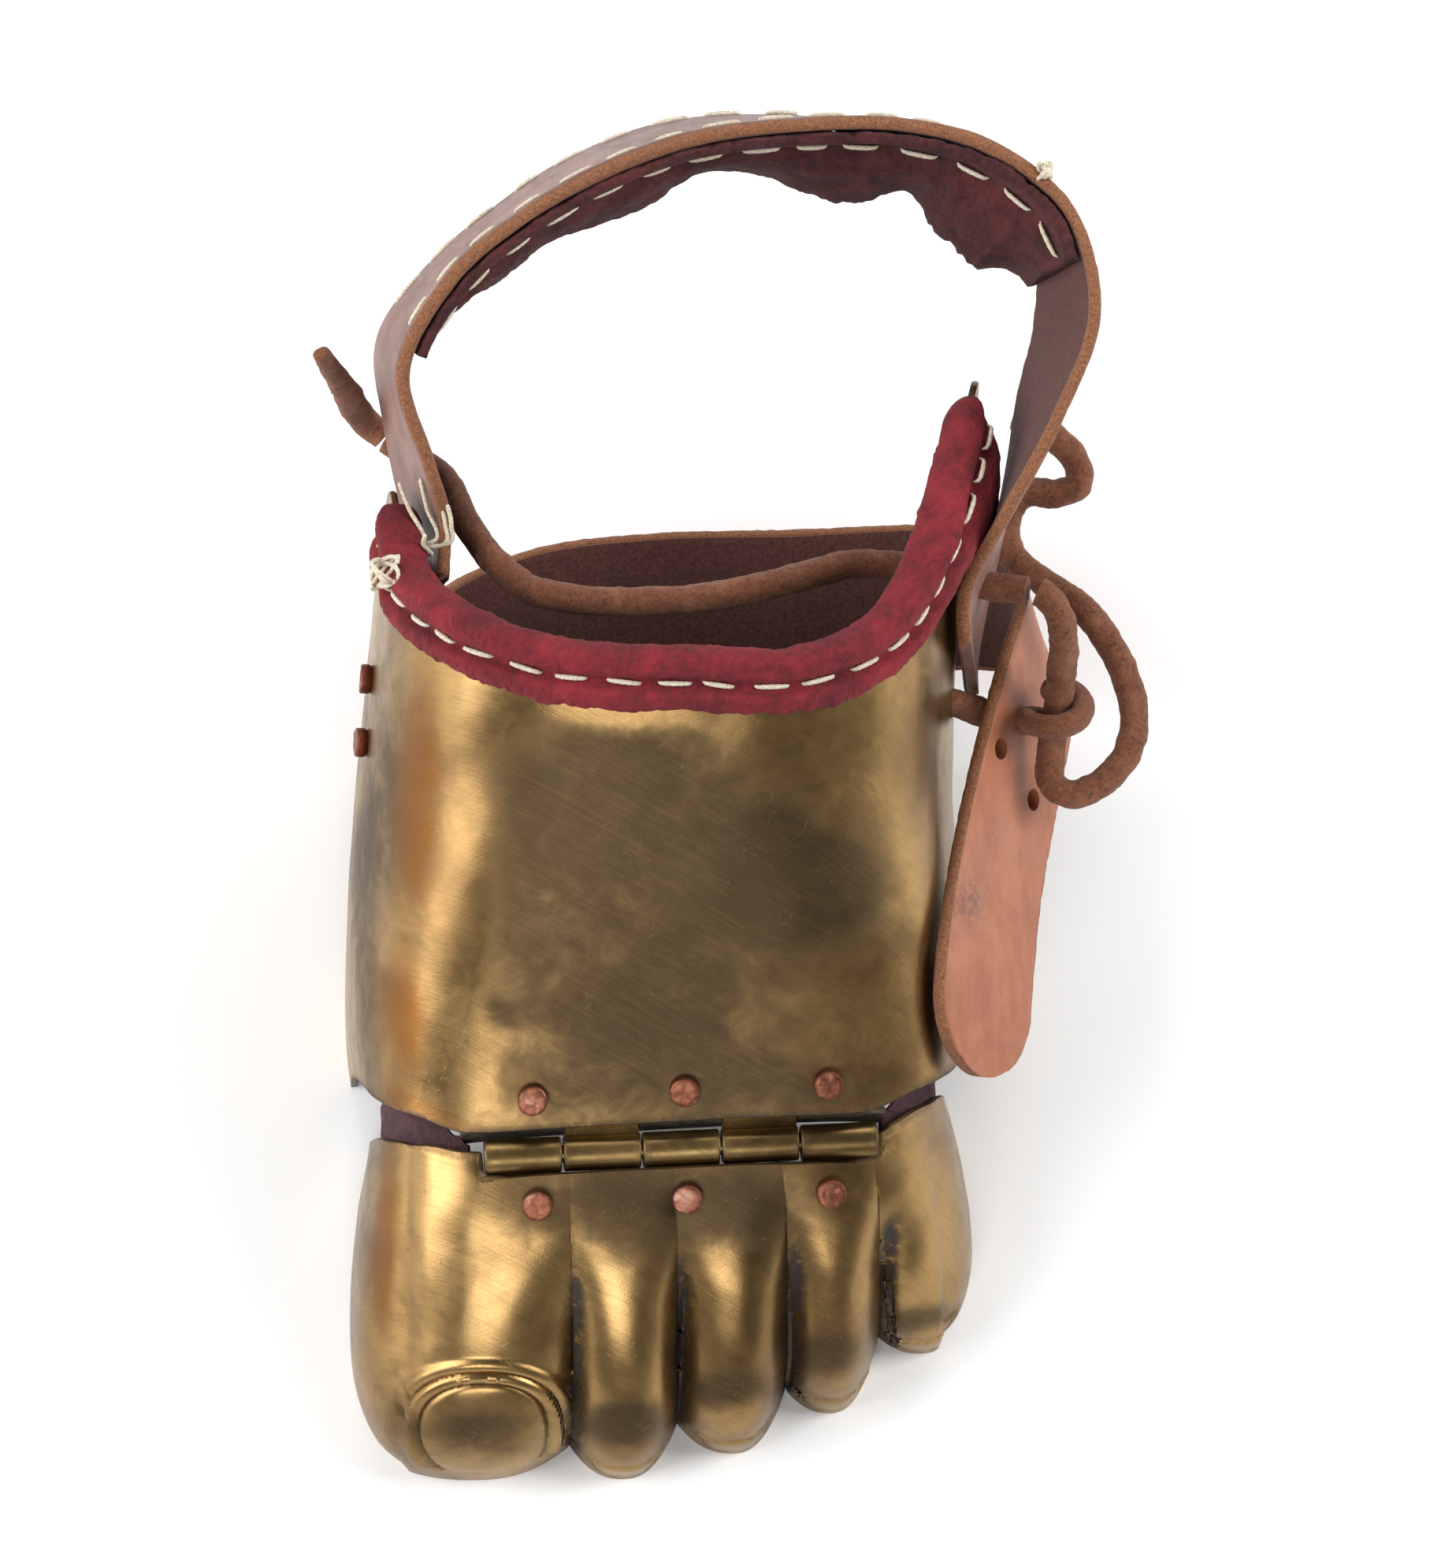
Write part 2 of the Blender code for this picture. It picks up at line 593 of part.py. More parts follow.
def hinge_leaf(guard, name, height, side, first, parent, slack=0.0):
    """One leaf: a sheet under its plate, with every second knuckle. side is 1 behind the axis, -1 before it."""
    centre, along, back = hinge_frame()
    stations = []
    for start, end in knuckle_spans():
        stations += [start + LEAF_INSET, (start + end) / 2, end - LEAF_INSET]
    near = BARREL_RADIUS + KNUCKLE_GAP + LEAF_THICKNESS / 2
    distances = [PIN_RADIUS + 2 * FIT] + spread(near, LEAF_DEPTH, 4)
    under = PLATE_WALL / 2 + FIT + LEAF_THICKNESS / 2 + slack
    rows = []
    for distance in distances:
        row = []
        for station in stations:
            spot = centre + along * station + back * side * distance
            if distance < near:
                row.append(spot)
                continue
            point, normal = plate_spot(height, spot.x, spot.y)
            row.append(point - normal * under)
        rows.append(row)
    own = [k for k in range(KNUCKLES) if k % 2 == first]
    leaf = grid_object(name, rows, keep=lambda i, j: i > 0 or (j // 3 in own and j % 3 != 2))
    guard.adopt(leaf, "hinge_brass", parent)
    thicken(leaf, LEAF_THICKNESS)
    for k in own:
        start, end = knuckle_spans()[k]
        knuckle = cylinder_between(name + "_knuckle_%d" % (k + 1), centre + along * start, centre + along * end,
                                   BARREL_RADIUS, sides=16)
        boolean(leaf, guard.adopt_cutter(knuckle), "UNION")
    reach = along * (HINGE_LENGTH / 2 + HINGE_BORE_REACH)
    bore = cylinder_between(name + "_bore", centre - reach, centre + reach, PIN_RADIUS + FIT, sides=16)
    boolean(leaf, guard.adopt_cutter(bore), "DIFFERENCE")
    return leaf


def hinge_pin(guard):
    centre, along, _back = hinge_frame()
    reach = along * (HINGE_LENGTH / 2 - KNUCKLE_GAP / 2)
    pin = cylinder_between("hinge_pin", centre - reach, centre + reach, PIN_RADIUS, sides=16)
    return guard.adopt(pin, "hinge_brass")


def turned(name, profile, steps=8):
    """Solid of revolution round z from a profile of (radius, z), top to bottom."""
    mesh = bpy.data.meshes.new(name)
    mesh.from_pydata([(radius, 0.0, z) for radius, z in profile],
                     [(i, i + 1) for i in range(len(profile) - 1)], [])
    obj = bpy.data.objects.new(name, mesh)
    screw = obj.modifiers.new("turn", "SCREW")
    screw.steps = steps
    screw.render_steps = steps
    screw.use_merge_vertices = True
    screw.merge_threshold = 0.01 * MM
    return obj


def rivet(guard, name, point, normal, depth, parent=None):
    """Copper rivet through the brass and depth of what lies behind it, with a flat head on each side."""
    top = PLATE_WALL / 2 + FIT
    bottom = -(PLATE_WALL / 2 + depth + FIT)
    face = top + RIVET_HEAD_HEIGHT
    profile = ((0.0, face), (RIVET_HEAD_RADIUS - RIVET_HEAD_EDGE, face),
               (RIVET_HEAD_RADIUS, face - RIVET_HEAD_EDGE), (RIVET_HEAD_RADIUS, top),
               (RIVET_SHANK_RADIUS, top), (RIVET_SHANK_RADIUS, bottom), (RIVET_TAIL_RADIUS, bottom),
               (RIVET_TAIL_RADIUS, bottom - RIVET_TAIL_HEIGHT), (0.0, bottom - RIVET_TAIL_HEIGHT))
    obj = turned(name, profile)
    guard.adopt(obj, "copper", guard.root)
    parent = parent or guard.root
    obj.parent = parent
    obj.rotation_mode = "QUATERNION"
    obj.rotation_quaternion = Vector((0, 0, 1)).rotation_difference(normal)
    obj.location = point - (parent.location if parent is guard.toe_pivot else Vector((0, 0, 0)))
    return obj


def hole_cutter(guard, name, spots, radius, reach):
    """One cutter of a bore at each spot: (point, direction)."""
    build = bmesh.new()
    for point, normal in spots:
        turn = Vector((0, 0, 1)).rotation_difference(normal).to_matrix().to_4x4()
        bmesh.ops.create_cone(build, cap_ends=True, segments=12, radius1=radius, radius2=radius,
                              depth=2 * reach, matrix=Matrix.Translation(point) @ turn)
    mesh = bpy.data.meshes.new(name)
    build.to_mesh(mesh)
    build.free()
    return guard.adopt_cutter(bpy.data.objects.new(name, mesh))


def hinge_rivets(guard, name, height, side, plate, leaf, parent, slack=0.0):
    """Three rivets through a plate and its leaf, in a line along the hinge."""
    centre, along, back = hinge_frame()
    spots = []
    for number, share in enumerate(RIVET_ALONG, start=1):
        spot = centre + along * share * HINGE_LENGTH + back * side * RIVET_FROM_AXIS
        point, normal = plate_spot(height, spot.x, spot.y)
        spots.append((point, normal))
        rivet(guard, "%s_%d" % (name, number), point, normal, LEAF_THICKNESS + FIT + slack, parent)
    holes = hole_cutter(guard, name + "_holes", spots, RIVET_SHANK_RADIUS + FIT, LEAF_BORE_REACH)
    for obj in (plate, leaf):
        boolean(obj, holes, "DIFFERENCE")


def catmull(rows, count):
    """Evenly numbered points of a smooth curve through the rows, each a list of vectors."""
    rows = [list(row) for row in rows]
    padded = [rows[0]] + rows + [rows[-1]]
    result = []
    spans = len(rows) - 1
    for i in range(count):
        place = spans * i / (count - 1)
        k = min(int(place), spans - 1)
        h = place - k
        a, b, c, d = padded[k:k + 4]
        point = []
        for p, q, r, t in zip(a, b, c, d):
            point.append(0.5 * (2 * q + (r - p) * h + (2 * p - 5 * q + 4 * r - t) * h * h
                                + (3 * q - p - 3 * r + t) * h ** 3))
        result.append(point)
    return result


def shared_point(row):
    return Vector((row[0] * HALF_WIDTH, row[1] * GUARD_LENGTH, row[2] * COLLAR_HEIGHT))


def ankle_stations(count=54):
    """Middle line and across direction of the ankle strap, from the medial ear round to its lateral end."""
    across_step = 0.03
    rows = []
    lift = PLATE_WALL / 2 + FIT + STRAP_THICKNESS / 2
    over_trim = FIT + TRIM_THICKNESS + ANKLE_INNER_BULGE
    for table, side in ((ANKLE_INSIDE, -1.0), (ANKLE_OUTSIDE, 1.0)):
        block = []
        for around, share in table:
            y = share * GUARD_LENGTH
            low = arch_point(min(max(around - across_step, 0.0), 1.0), y)
            high = arch_point(min(max(around + across_step, 0.0), 1.0), y)
            across = (high - low).normalized()
            if across.z < 0:
                across = -across
            outward = Vector((math.copysign(across.z, low.x), 0.0, -across.x * math.copysign(1.0, low.x)))
            extra = ANKLE_BULGE if side > 0 else over_trim
            block.append((arch_point(around, y) + outward * side * (lift + extra), across))
        rows.append(block)
    free = []
    points = [shared_point(row) for row in ANKLE_FREE]
    for index, (point, row) in enumerate(zip(points, ANKLE_FREE)):
        before = points[max(index - 1, 0)]
        after = points[min(index + 1, len(points) - 1)]
        run = (after - before).normalized()
        inward = run.cross(Vector((0, 0, 1))).normalized()
        upright = run.cross(-inward).normalized()
        if upright.z < 0:
            upright = -upright
        lean = math.radians(row[ANKLE_COLUMNS.index("lean")])
        free.append((point, upright * math.cos(lean) + inward * math.sin(lean)))
    return catmull(rows[0] + free + rows[1], count)


def ribbon(name, stations, width, thickness, round_end=False):
    """Strap of a steady width along stations of (middle, across), with a round end where asked."""
    lengths = [0.0]
    for before, after in zip(stations, stations[1:]):
        lengths.append(lengths[-1] + (after[0] - before[0]).length)
    rows = []
    for (middle, across), place in zip(stations, lengths):
        half = width / 2
        left = half
        if round_end and lengths[-1] - place < half:
            left = math.sqrt(max(half ** 2 - (half - (lengths[-1] - place)) ** 2, (0.2 * half) ** 2))
        unit = across.normalized()
        rows.append([middle + unit * left * share for share in (-1.0, 0.0, 1.0)])
    obj = grid_object(name, rows)
    thicken(obj, thickness)
    return obj


def round_tip(stations, count=5):
    """More stations near the last one, so that a round tip is round."""
    last, before = stations[-1], stations[-2]
    extra = []
    for k in range(1, count):
        share = math.sin(math.pi / 2 * k / count)
        extra.append([before[0].lerp(last[0], share), before[1].lerp(last[1], share)])
    return stations[:-1] + extra + [last]


def heel_stations(count=46):
    """Middle line and across direction of the heel strap, from the medial wall under the arch to its tip."""
    lift = PLATE_WALL / 2 + FIT + HEEL_BULGE + HEEL_STRAP_THICKNESS / 2
    rows = []
    for around, share in HEEL_INSIDE:
        y = share * GUARD_LENGTH
        point = arch_point(around, y)
        outward = Vector((-1.0, 0.0, 0.0))
        rows.append((point - outward * lift, Vector((0.0, math.cos(HEEL_ROW_TILT), math.sin(HEEL_ROW_TILT)))))
    for row in HEEL_FREE:
        rows.append((shared_point(row), Vector(row[3:6]).normalized()))
    return catmull(rows, count)


def lace_channel(guard, name, table, sides=8):
    """Cutter along a lace's route, wider than the lace by its clearance."""
    points = [Vector(place) for (place,) in catmull([[shared_point(row)] for row in table], 3 * len(table))]
    radius = LACE_RADIUS + LACE_FIT
    sections = []
    for index, point in enumerate(points):
        run = points[min(index + 1, len(points) - 1)] - points[max(index - 1, 0)]
        side = run.cross(Vector((0, 0, 1))).normalized()
        rise = side.cross(run).normalized()
        turns = [2 * math.pi * k / sides for k in range(sides)]
        sections.append([point + (side * math.cos(turn) + rise * math.sin(turn)) * radius for turn in turns])
    return guard.adopt_cutter(loft_object(name, sections))


def straps(guard, plate, floor):
    """Both straps, the holes that they and the plate have for the lace, and the side rivets."""
    ankle = guard.adopt(ribbon("ankle_strap", ankle_stations(), STRAP_WIDTH, STRAP_THICKNESS), "leather")
    stations = heel_stations()
    heel = ribbon("heel_strap", round_tip(stations), HEEL_STRAP_WIDTH, HEEL_STRAP_THICKNESS, round_end=True)
    guard.adopt(heel, "leather")
    boolean(heel, floor, "DIFFERENCE")
    run = lace_channel(guard, "lace_run_channel", LACE_RUN)
    bar = lace_channel(guard, "lace_bar_channel", LACE_BAR)
    for obj, channel in ((plate, run), (plate, bar), (ankle, run), (heel, bar)):
        boolean(obj, channel, "DIFFERENCE")
    spots = []
    for share, across_share in TONGUE_HOLES:
        middle, across = stations[int(share * (len(stations) - 1))]
        before, _across = stations[int(share * (len(stations) - 1)) - 1]
        spots.append((middle + across * across_share * HEEL_STRAP_WIDTH, across.cross(middle - before).normalized()))
    boolean(heel, hole_cutter(guard, "tongue_holes", spots, HOLE_RADIUS, TONGUE_BORE_REACH), "DIFFERENCE")
    side_rivets(guard, plate, ankle, heel)


def ankle_rivet_place():
    """Share round the arch and y share of the ankle strap's rivet, set by its distance below the trim's end."""
    y = ANKLE_RIVET_Y * GUARD_LENGTH
    end = arch_point(TRIM_FROM, y)
    low, high = 0.0, TRIM_FROM
    for _halving in range(30):
        around = (low + high) / 2
        if (end - arch_point(around, y)).length > RIVET_FROM_TRIM:
            low = around
        else:
            high = around
    return around, ANKLE_RIVET_Y


def side_rivets(guard, plate, ankle, heel):
    """Rivets through the medial side: two hold the heel strap's end and one the ankle strap's."""
    step = 0.01
    heel_depth = 2 * FIT + HEEL_BULGE + HEEL_STRAP_THICKNESS
    ankle_depth = 3 * FIT + TRIM_THICKNESS + ANKLE_INNER_BULGE + STRAP_THICKNESS
    places = ((HEEL_RIVETS[0], heel, heel_depth), (HEEL_RIVETS[1], heel, heel_depth),
              (ankle_rivet_place(), ankle, ankle_depth))
    for number, ((around, share), strap, depth) in enumerate(places, start=1):
        y = share * GUARD_LENGTH
        point = arch_point(around, y)
        rise = arch_point(around + step, y) - arch_point(around - step, y)
        back = arch_point(around, y + MM) - arch_point(around, y - MM)
        normal = back.cross(rise).normalized()
        if normal.x > 0:
            normal = -normal
        rivet(guard, "rivet_side_%d" % number, point, normal, depth)
        holes = hole_cutter(guard, "rivet_side_%d_hole" % number, [(point, normal)],
                            RIVET_SHANK_RADIUS + FIT, BORE_REACH)
        for obj in (plate, strap):
            boolean(obj, holes, "DIFFERENCE")


def pad(guard):
    """Soft lining inside the ankle strap: thin at the top edge, full at the bottom edge."""
    stations = ankle_stations()
    first, last = int(PAD_FROM * len(stations)), int(PAD_TO * len(stations))
    chosen = stations[first:last]
    sections = []
    for index, (middle, across) in enumerate(chosen):
        before = chosen[max(index - 1, 0)][0]
        after = chosen[min(index + 1, len(chosen) - 1)][0]
        unit = across.normalized()
        inward = unit.cross(after - before).normalized()
        if inward.dot(shared_point(STRAP_CENTRE) - middle) < 0:
            inward = -inward
        end = min(index, len(chosen) - 1 - index)
        full = min(1.0, 0.35 + 0.15 * end)
        base = middle + inward * (STRAP_THICKNESS / 2 + 2 * FIT)
        half = STRAP_WIDTH / 2
        shape = ((0.90, 0.0), (0.96, PAD_THIN * 0.5), (0.85, PAD_THIN), (0.2, PAD_THIN + 0.45 * PAD_THICK * full),
                 (-0.55, PAD_THICK * full), (-0.98, PAD_THICK * full * 0.75), (-1.0, 0.3 * PAD_THIN), (-0.90, 0.0))
        sections.append([base + unit * half * up + inward * out for up, out in shape])
    obj = loft_object("ankle_strap_lining", sections)
    return guard.adopt(obj, "burgundy")


def outer_spot(around, along):
    """Point of the instep's middle surface and the normal on its outer side."""
    point, normal = surface_normal(instep_surface, around, along)
    return point, -normal


def trim_section(around):
    """Section of the rolled trim at one place on the rear edge of the instep plate."""
    step = 0.004
    below = 0.02
    edge, normal = outer_spot(around, 1.0)
    run = (instep_surface(around + step, 1.0) - instep_surface(around - step, 1.0)).normalized()
    inward = normal.cross(run).normalized()
    down_column = (instep_surface(around, 1.0 - below) - edge).normalized()
    if inward.dot(down_column) < 0:
        inward = -inward
    ahead = instep_surface(around + step, 1.0 - below / 2)
    across = (ahead - instep_surface(around - step, 1.0 - below / 2)) / (2 * step)
    back = (edge - instep_surface(around, 1.0 - below)) / below
    # inward = a * across + b * back, solved in the surface
    aa, ab, bb = across.dot(across), across.dot(back), back.dot(back)
    da, db = inward.dot(across), inward.dot(back)
    determinant = aa * bb - ab * ab
    a = (da * bb - db * ab) / determinant
    b = (db * aa - da * ab) / determinant

    def spot(distance, offset):
        if distance <= 0:
            return edge + inward * distance + normal * offset
        point, local = outer_spot(around + a * distance, 1.0 + b * distance)
        return point + local * offset

    inner = PLATE_WALL / 2 + FIT
    outer = inner + TRIM_THICKNESS
    roll = FIT + TRIM_THICKNESS
    shape = ((TRIM_OUTER, inner), (TRIM_OUTER, inner + 0.6 * TRIM_THICKNESS), (0.85 * TRIM_OUTER, outer),
             (0.4 * TRIM_OUTER, outer), (0.0, outer), (-0.75 * roll, 0.7 * outer), (-roll, 0.0),
             (-0.75 * roll, -0.7 * outer), (0.0, -outer), (0.8 * TRIM_INNER, -outer),
             (TRIM_INNER, -inner - 0.6 * TRIM_THICKNESS), (TRIM_INNER, -inner), (0.4 * TRIM_INNER, -inner),
             (-FIT, -inner), (-FIT, inner), (0.5 * TRIM_OUTER, inner))
    return [spot(distance, offset) for distance, offset in shape]


def collar_trim(guard):
    sections = [trim_section(around) for around in spread(TRIM_FROM, TRIM_TO, 35)]
    return guard.adopt(loft_object("collar_trim", sections), "red_suede")


def toe_linings(guard):
    """Leather inside the toe plate, standing out behind its rear edge on each side of the hinge."""
    offset = PLATE_WALL / 2 + 2 * FIT + TOE_LINING_THICKNESS / 2
    for name, low, high in (("toe_lining_medial", 0.04, LINING_STOP), ("toe_lining_lateral", LINING_LATERAL_START, 0.96)):
        rows = []
        for around in spread(low, high, 12):
            row = []
            rear = toe_rear_point(around)
            first, normal = surface_normal(toe_surface, around, LINING_FIRST)
            second, second_normal = surface_normal(toe_surface, around, LINING_SECOND)
            middle = math.sin(math.pi * (around - low) / (high - low))
            reach = LINING_BEHIND * (LINING_SHY + (1 - LINING_SHY) * middle)
            row.append(rear - normal * offset + Vector((0.0, reach, 0.0)))
            row.append(rear - normal * offset)
            row.append(first - normal * offset)
            row.append(second - second_normal * offset)
            rows.append(row)
        lining = grid_object(name, rows)
        guard.adopt(lining, "burgundy", guard.toe_pivot)
        thicken(lining, TOE_LINING_THICKNESS)


def lace(guard, name, table, count):
    """Leather lace as a tube through the chosen points."""
    points = catmull([[shared_point(row)] for row in table], count)
    curve = bpy.data.curves.new(name, "CURVE")
    curve.dimensions = "3D"
    curve.bevel_depth = LACE_RADIUS
    curve.bevel_resolution = 2
    curve.use_fill_caps = True
    spline = curve.splines.new("POLY")
    spline.points.add(len(points) - 1)
    for point, (place,) in zip(spline.points, points):
        point.co = (*place, 1.0)
    return guard.adopt(bpy.data.objects.new(name, curve), "lace")


def lace_knot(guard):
    build = bmesh.new()
    bmesh.ops.create_uvsphere(build, u_segments=12, v_segments=8, radius=0.5, matrix=Matrix.Diagonal((*KNOT_SIZE, 1.0)))
    mesh = bpy.data.meshes.new("lace_knot")
    build.to_mesh(mesh)
    build.free()
    knot = guard.adopt(bpy.data.objects.new("lace_knot", mesh), "lace")
    knot.location = shared_point(KNOT_MIDDLE)
    return knot


def centre_on_floor(guard):
    """Moves the whole guard so that the middle of its box, without the loose lace, is over the origin."""
    bpy.context.view_layer.update()
    graph = bpy.context.evaluated_depsgraph_get()
    lows, highs = [], []
    for obj in guard.parts.objects:
        if obj.type == "EMPTY" or obj.name in LOOSE_LACE:
            continue
        evaluated = obj.evaluated_get(graph)
        mesh = evaluated.to_mesh()
        places = [obj.matrix_world @ vertex.co for vertex in mesh.vertices]
        lows.append([min(place[axis] for place in places) for axis in range(3)])
        highs.append([max(place[axis] for place in places) for axis in range(3)])
        evaluated.to_mesh_clear()
    low = [min(values) for values in zip(*lows)]
    high = [max(values) for values in zip(*highs)]
    guard.root.location = (-(low[0] + high[0]) / 2, -(low[1] + high[1]) / 2, -low[2])


def main():
    clear_scene()
    guard = Guard()
    floor = floor_cutter(guard)
    instep = instep_plate(guard, floor)
    toe = toe_plate(guard, floor)
    rear_leaf = hinge_leaf(guard, "hinge_leaf_instep", instep_height, 1, 1, guard.root)
    toe_leaf = hinge_leaf(guard, "hinge_leaf_toe", toe_height, -1, 0, guard.toe_pivot, TOE_LEAF_SLACK)
    hinge_pin(guard)
    hinge_rivets(guard, "rivet_instep", instep_height, 1, instep, rear_leaf, guard.root)
    hinge_rivets(guard, "rivet_toe", toe_height, -1, toe, toe_leaf, guard.toe_pivot, TOE_LEAF_SLACK)
    collar_trim(guard)
    straps(guard, instep, floor)
    pad(guard)
    toe_linings(guard)
    lace(guard, "lace_run", LACE_RUN, 24)
    lace(guard, "lace_bar", LACE_BAR, 5)
    lace(guard, "lace_end", LACE_END, 9)
    lace(guard, "lace_strand", LACE_STRAND, 5)
    lace(guard, "lace_loop", LACE_LOOP, 28)
    lace_knot(guard)
    centre_on_floor(guard)


main()
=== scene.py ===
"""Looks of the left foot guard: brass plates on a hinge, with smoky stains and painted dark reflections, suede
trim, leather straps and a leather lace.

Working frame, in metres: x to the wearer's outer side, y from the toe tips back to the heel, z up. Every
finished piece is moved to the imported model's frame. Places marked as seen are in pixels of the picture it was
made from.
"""

import json
import math
import random

import bmesh
import bpy
import numpy as np
from mathutils import Matrix, Vector, noise


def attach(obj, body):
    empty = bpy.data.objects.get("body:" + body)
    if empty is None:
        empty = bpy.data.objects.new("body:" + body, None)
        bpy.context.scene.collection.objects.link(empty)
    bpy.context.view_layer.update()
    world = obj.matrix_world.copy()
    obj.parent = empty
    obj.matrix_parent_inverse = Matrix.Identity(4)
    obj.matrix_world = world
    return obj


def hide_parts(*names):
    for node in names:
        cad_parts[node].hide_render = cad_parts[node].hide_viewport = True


MM = 0.001
UP = Vector((0.0, 0.0, 1.0))

# Sizes, as in the solids
HALF_WIDTH = 54.0 * MM
GUARD_LENGTH = 226.0 * MM
COLLAR_HEIGHT = 98.0 * MM
TOE_HEIGHT = 45.0 * MM
PLATE_WALL = 1.2 * MM
HINGE_LENGTH = 69.0 * MM
HINGE_BEHIND_TOES = 0.2146 * GUARD_LENGTH
EDGE_FROM_AXIS = 3.8 * MM
HINGE_DROP = 0.4 * MM
HINGE_SKEW = math.radians(2.6)
BARREL_RADIUS = 3.1 * MM
PIN_RADIUS = 1.5 * MM
LEAF_THICKNESS = 1.2 * MM
LEAF_DEPTH = 13.0 * MM
TOE_LEAF_SLACK = 0.8 * MM
KNUCKLES = 5
RIVET_ALONG = (-0.37, 0.01, 0.37)
RIVET_FROM_AXIS = 8.5 * MM
RIVET_HEAD_RADIUS = 2.6 * MM
RIVET_HEAD_HEIGHT = 1.6 * MM
RIVET_TAIL_RADIUS = 2.2 * MM
RIVET_TAIL_HEIGHT = 0.9 * MM
STRAP_WIDTH = 30.0 * MM
STRAP_THICKNESS = 3.0 * MM
HEEL_STRAP_WIDTH = 28.0 * MM
HEEL_STRAP_THICKNESS = 2.6 * MM
TRIM_THICKNESS = 2.6 * MM
PAD_THIN = 2.2 * MM
PAD_THICK = 9.0 * MM
TOE_LINING_THICKNESS = 1.3 * MM
LINING_BEHIND = 10.0 * MM
LINING_SHY = 0.6
LINING_STOP = 0.36
LINING_LATERAL_START = 0.68
LINING_FIRST = 0.04
LINING_SECOND = 0.16
TRIM_FROM = 0.158
TRIM_TO = 0.832
LACE_RADIUS = 2.6 * MM
FIT = 0.35 * MM
KNUCKLE_GAP = 0.4 * MM

# Sizes of the looks alone
STRAP_SEEN = 0.78 * STRAP_THICKNESS
TRIM_WIDE = 8.6 * MM
TRIM_WIDE_INSIDE = 6.5 * MM
TRIM_FULL = 1.2 * TRIM_THICKNESS
STITCH_LINE = 3.6 * MM
STITCH_LINE_ON_EAR = 0.9 * MM
STITCH_MARGIN = 0.004
THREAD_RADIUS = 0.42 * MM
NAIL_MIDDLE = (1100.0, 1648.0)
NAIL_HALF = (62.0, 45.0)
NAIL_ROUNDNESS = 2.3
SMALL_NAIL_HEIGHT = 4.8 * MM
SMALL_NAIL_HALF = 2.6 * MM
TRIM_SECTIONS = 300
TRIM_AGAINST_PLATE = 7
EDGE_ROWS = 5
# Drops of the dark sheet that hangs from the instep leaf's edge as painted shade in the gap by the hinge.
SHADE_LIP_DROPS = (0.0, 2.2, 4.4, 6.6)
SMOOTHED_COLUMNS = 24

# The camera of the picture, in the working frame, and how much closer it frames the one guard
SEEN_FOCUS = 6875.0
SEEN_MIDDLE = (924.0, 995.0)
SEEN_HEIGHT = 1990.0
CAMERA_PLACE = Vector((-65.0, -259.3, 1200.8)) * MM
CAMERA_FORWARD = Vector((0.0, 0.309017, -0.951057))
CAMERA_UP = Vector((0.0, 0.951057, 0.309017))
FRAMED_MIDDLE = (1345.0, 1003.0)
CLOSER = 1.27
SENSOR = 36.0

# The instep's arch along its length, in shares: y, half width, height, middle and squareness
ARCH = ((0.17, 0.93, 0.425, -0.045, 4.6), (0.25, 0.955, 0.525, -0.045, 4.4),
    (0.35, 1.010, 0.700, -0.05, 3.4), (0.465, 1.000, 0.890, -0.055, 2.9), (0.53, 0.985, 1.000, -0.05, 3.0),
    (0.62, 0.970, 1.100, -0.03, 3.5), (0.71, 0.975, 1.160, 0.0, 4.0), (0.82, 1.010, 1.190, 0.03, 4.2))
# Edges of the plates round the arch: place round it and y as a share of the length
INSTEP_FRONT = ((0.0, 0.098), (0.06, 0.070), (0.118, 0.048), (0.20, 0.030), (0.272, 0.018), (0.36, 0.002),
                (0.5, 0.0), (0.64, 0.002), (0.728, 0.018), (0.80, 0.030), (0.882, 0.048), (0.94, 0.070),
                (1.0, 0.098))
TOE_REAR = ((0.0, 0.072), (0.10, 0.058), (0.20, 0.038), (0.30, 0.012), (0.36, 0.0), (0.5, 0.0),
            (0.64, 0.0), (0.70, 0.012), (0.80, 0.042), (0.90, 0.070), (1.0, 0.087))
EDGE_LEAST = 0.05 * MM
EDGE_TANGENT_SHARE = 0.04
TOE_EDGE_BACK = ((0.16, 0.0), (0.24, 0.009), (0.30, 0.018), (0.36, 0.022), (0.66, 0.022), (0.74, 0.0185),
                 (0.80, 0.0105), (0.84, 0.006), (0.90, 0.0))
INSTEP_REAR = ((0.0, 0.590), (0.05, 0.622), (0.09, 0.660), (0.115, 0.692), (0.135, 0.705), (0.160, 0.685),
               (0.206, 0.628), (0.317, 0.572), (0.42, 0.540), (0.5, 0.531), (0.58, 0.533), (0.683, 0.570),
               (0.761, 0.640), (0.810, 0.720), (0.845, 0.785), (0.870, 0.755), (0.900, 0.670), (0.940, 0.610),
               (1.0, 0.585))
# Rims of the toe plate on the floor, in shares: place round the arch, x and y
TOE_MEDIAL_SIDE = ((0.05, -1.035, 0.190), (0.10, -1.050, 0.120), (0.15, -1.030, 0.070),
                   (0.20, -0.960, 0.030), (0.24, -0.860, 0.009))
TOE_LATERAL_SIDE = ((0.80, 0.885, 0.112), (0.84, 0.945, 0.128), (0.88, 0.985, 0.155), (0.92, 0.990, 0.195),
                    (0.96, 0.970, 0.235))
# Toes in shares: middle, half width, how far back the tip lies, and the notch after it
TOES = ((-0.655, 0.325, 0.0, 0.030), (-0.165, 0.175, 0.0, 0.045), (0.200, 0.180, 0.020, 0.080),
    (0.525, 0.165, 0.052, 0.122), (0.830, 0.165, 0.100, 0.135))
TOE_SLOPE = 0.42
TOE_NOSE = 3.0
TOE_DOME = 3.4 * MM
GROOVE_DEPTH = 4.2 * MM
GROOVE_WIDTH = 2.6 * MM

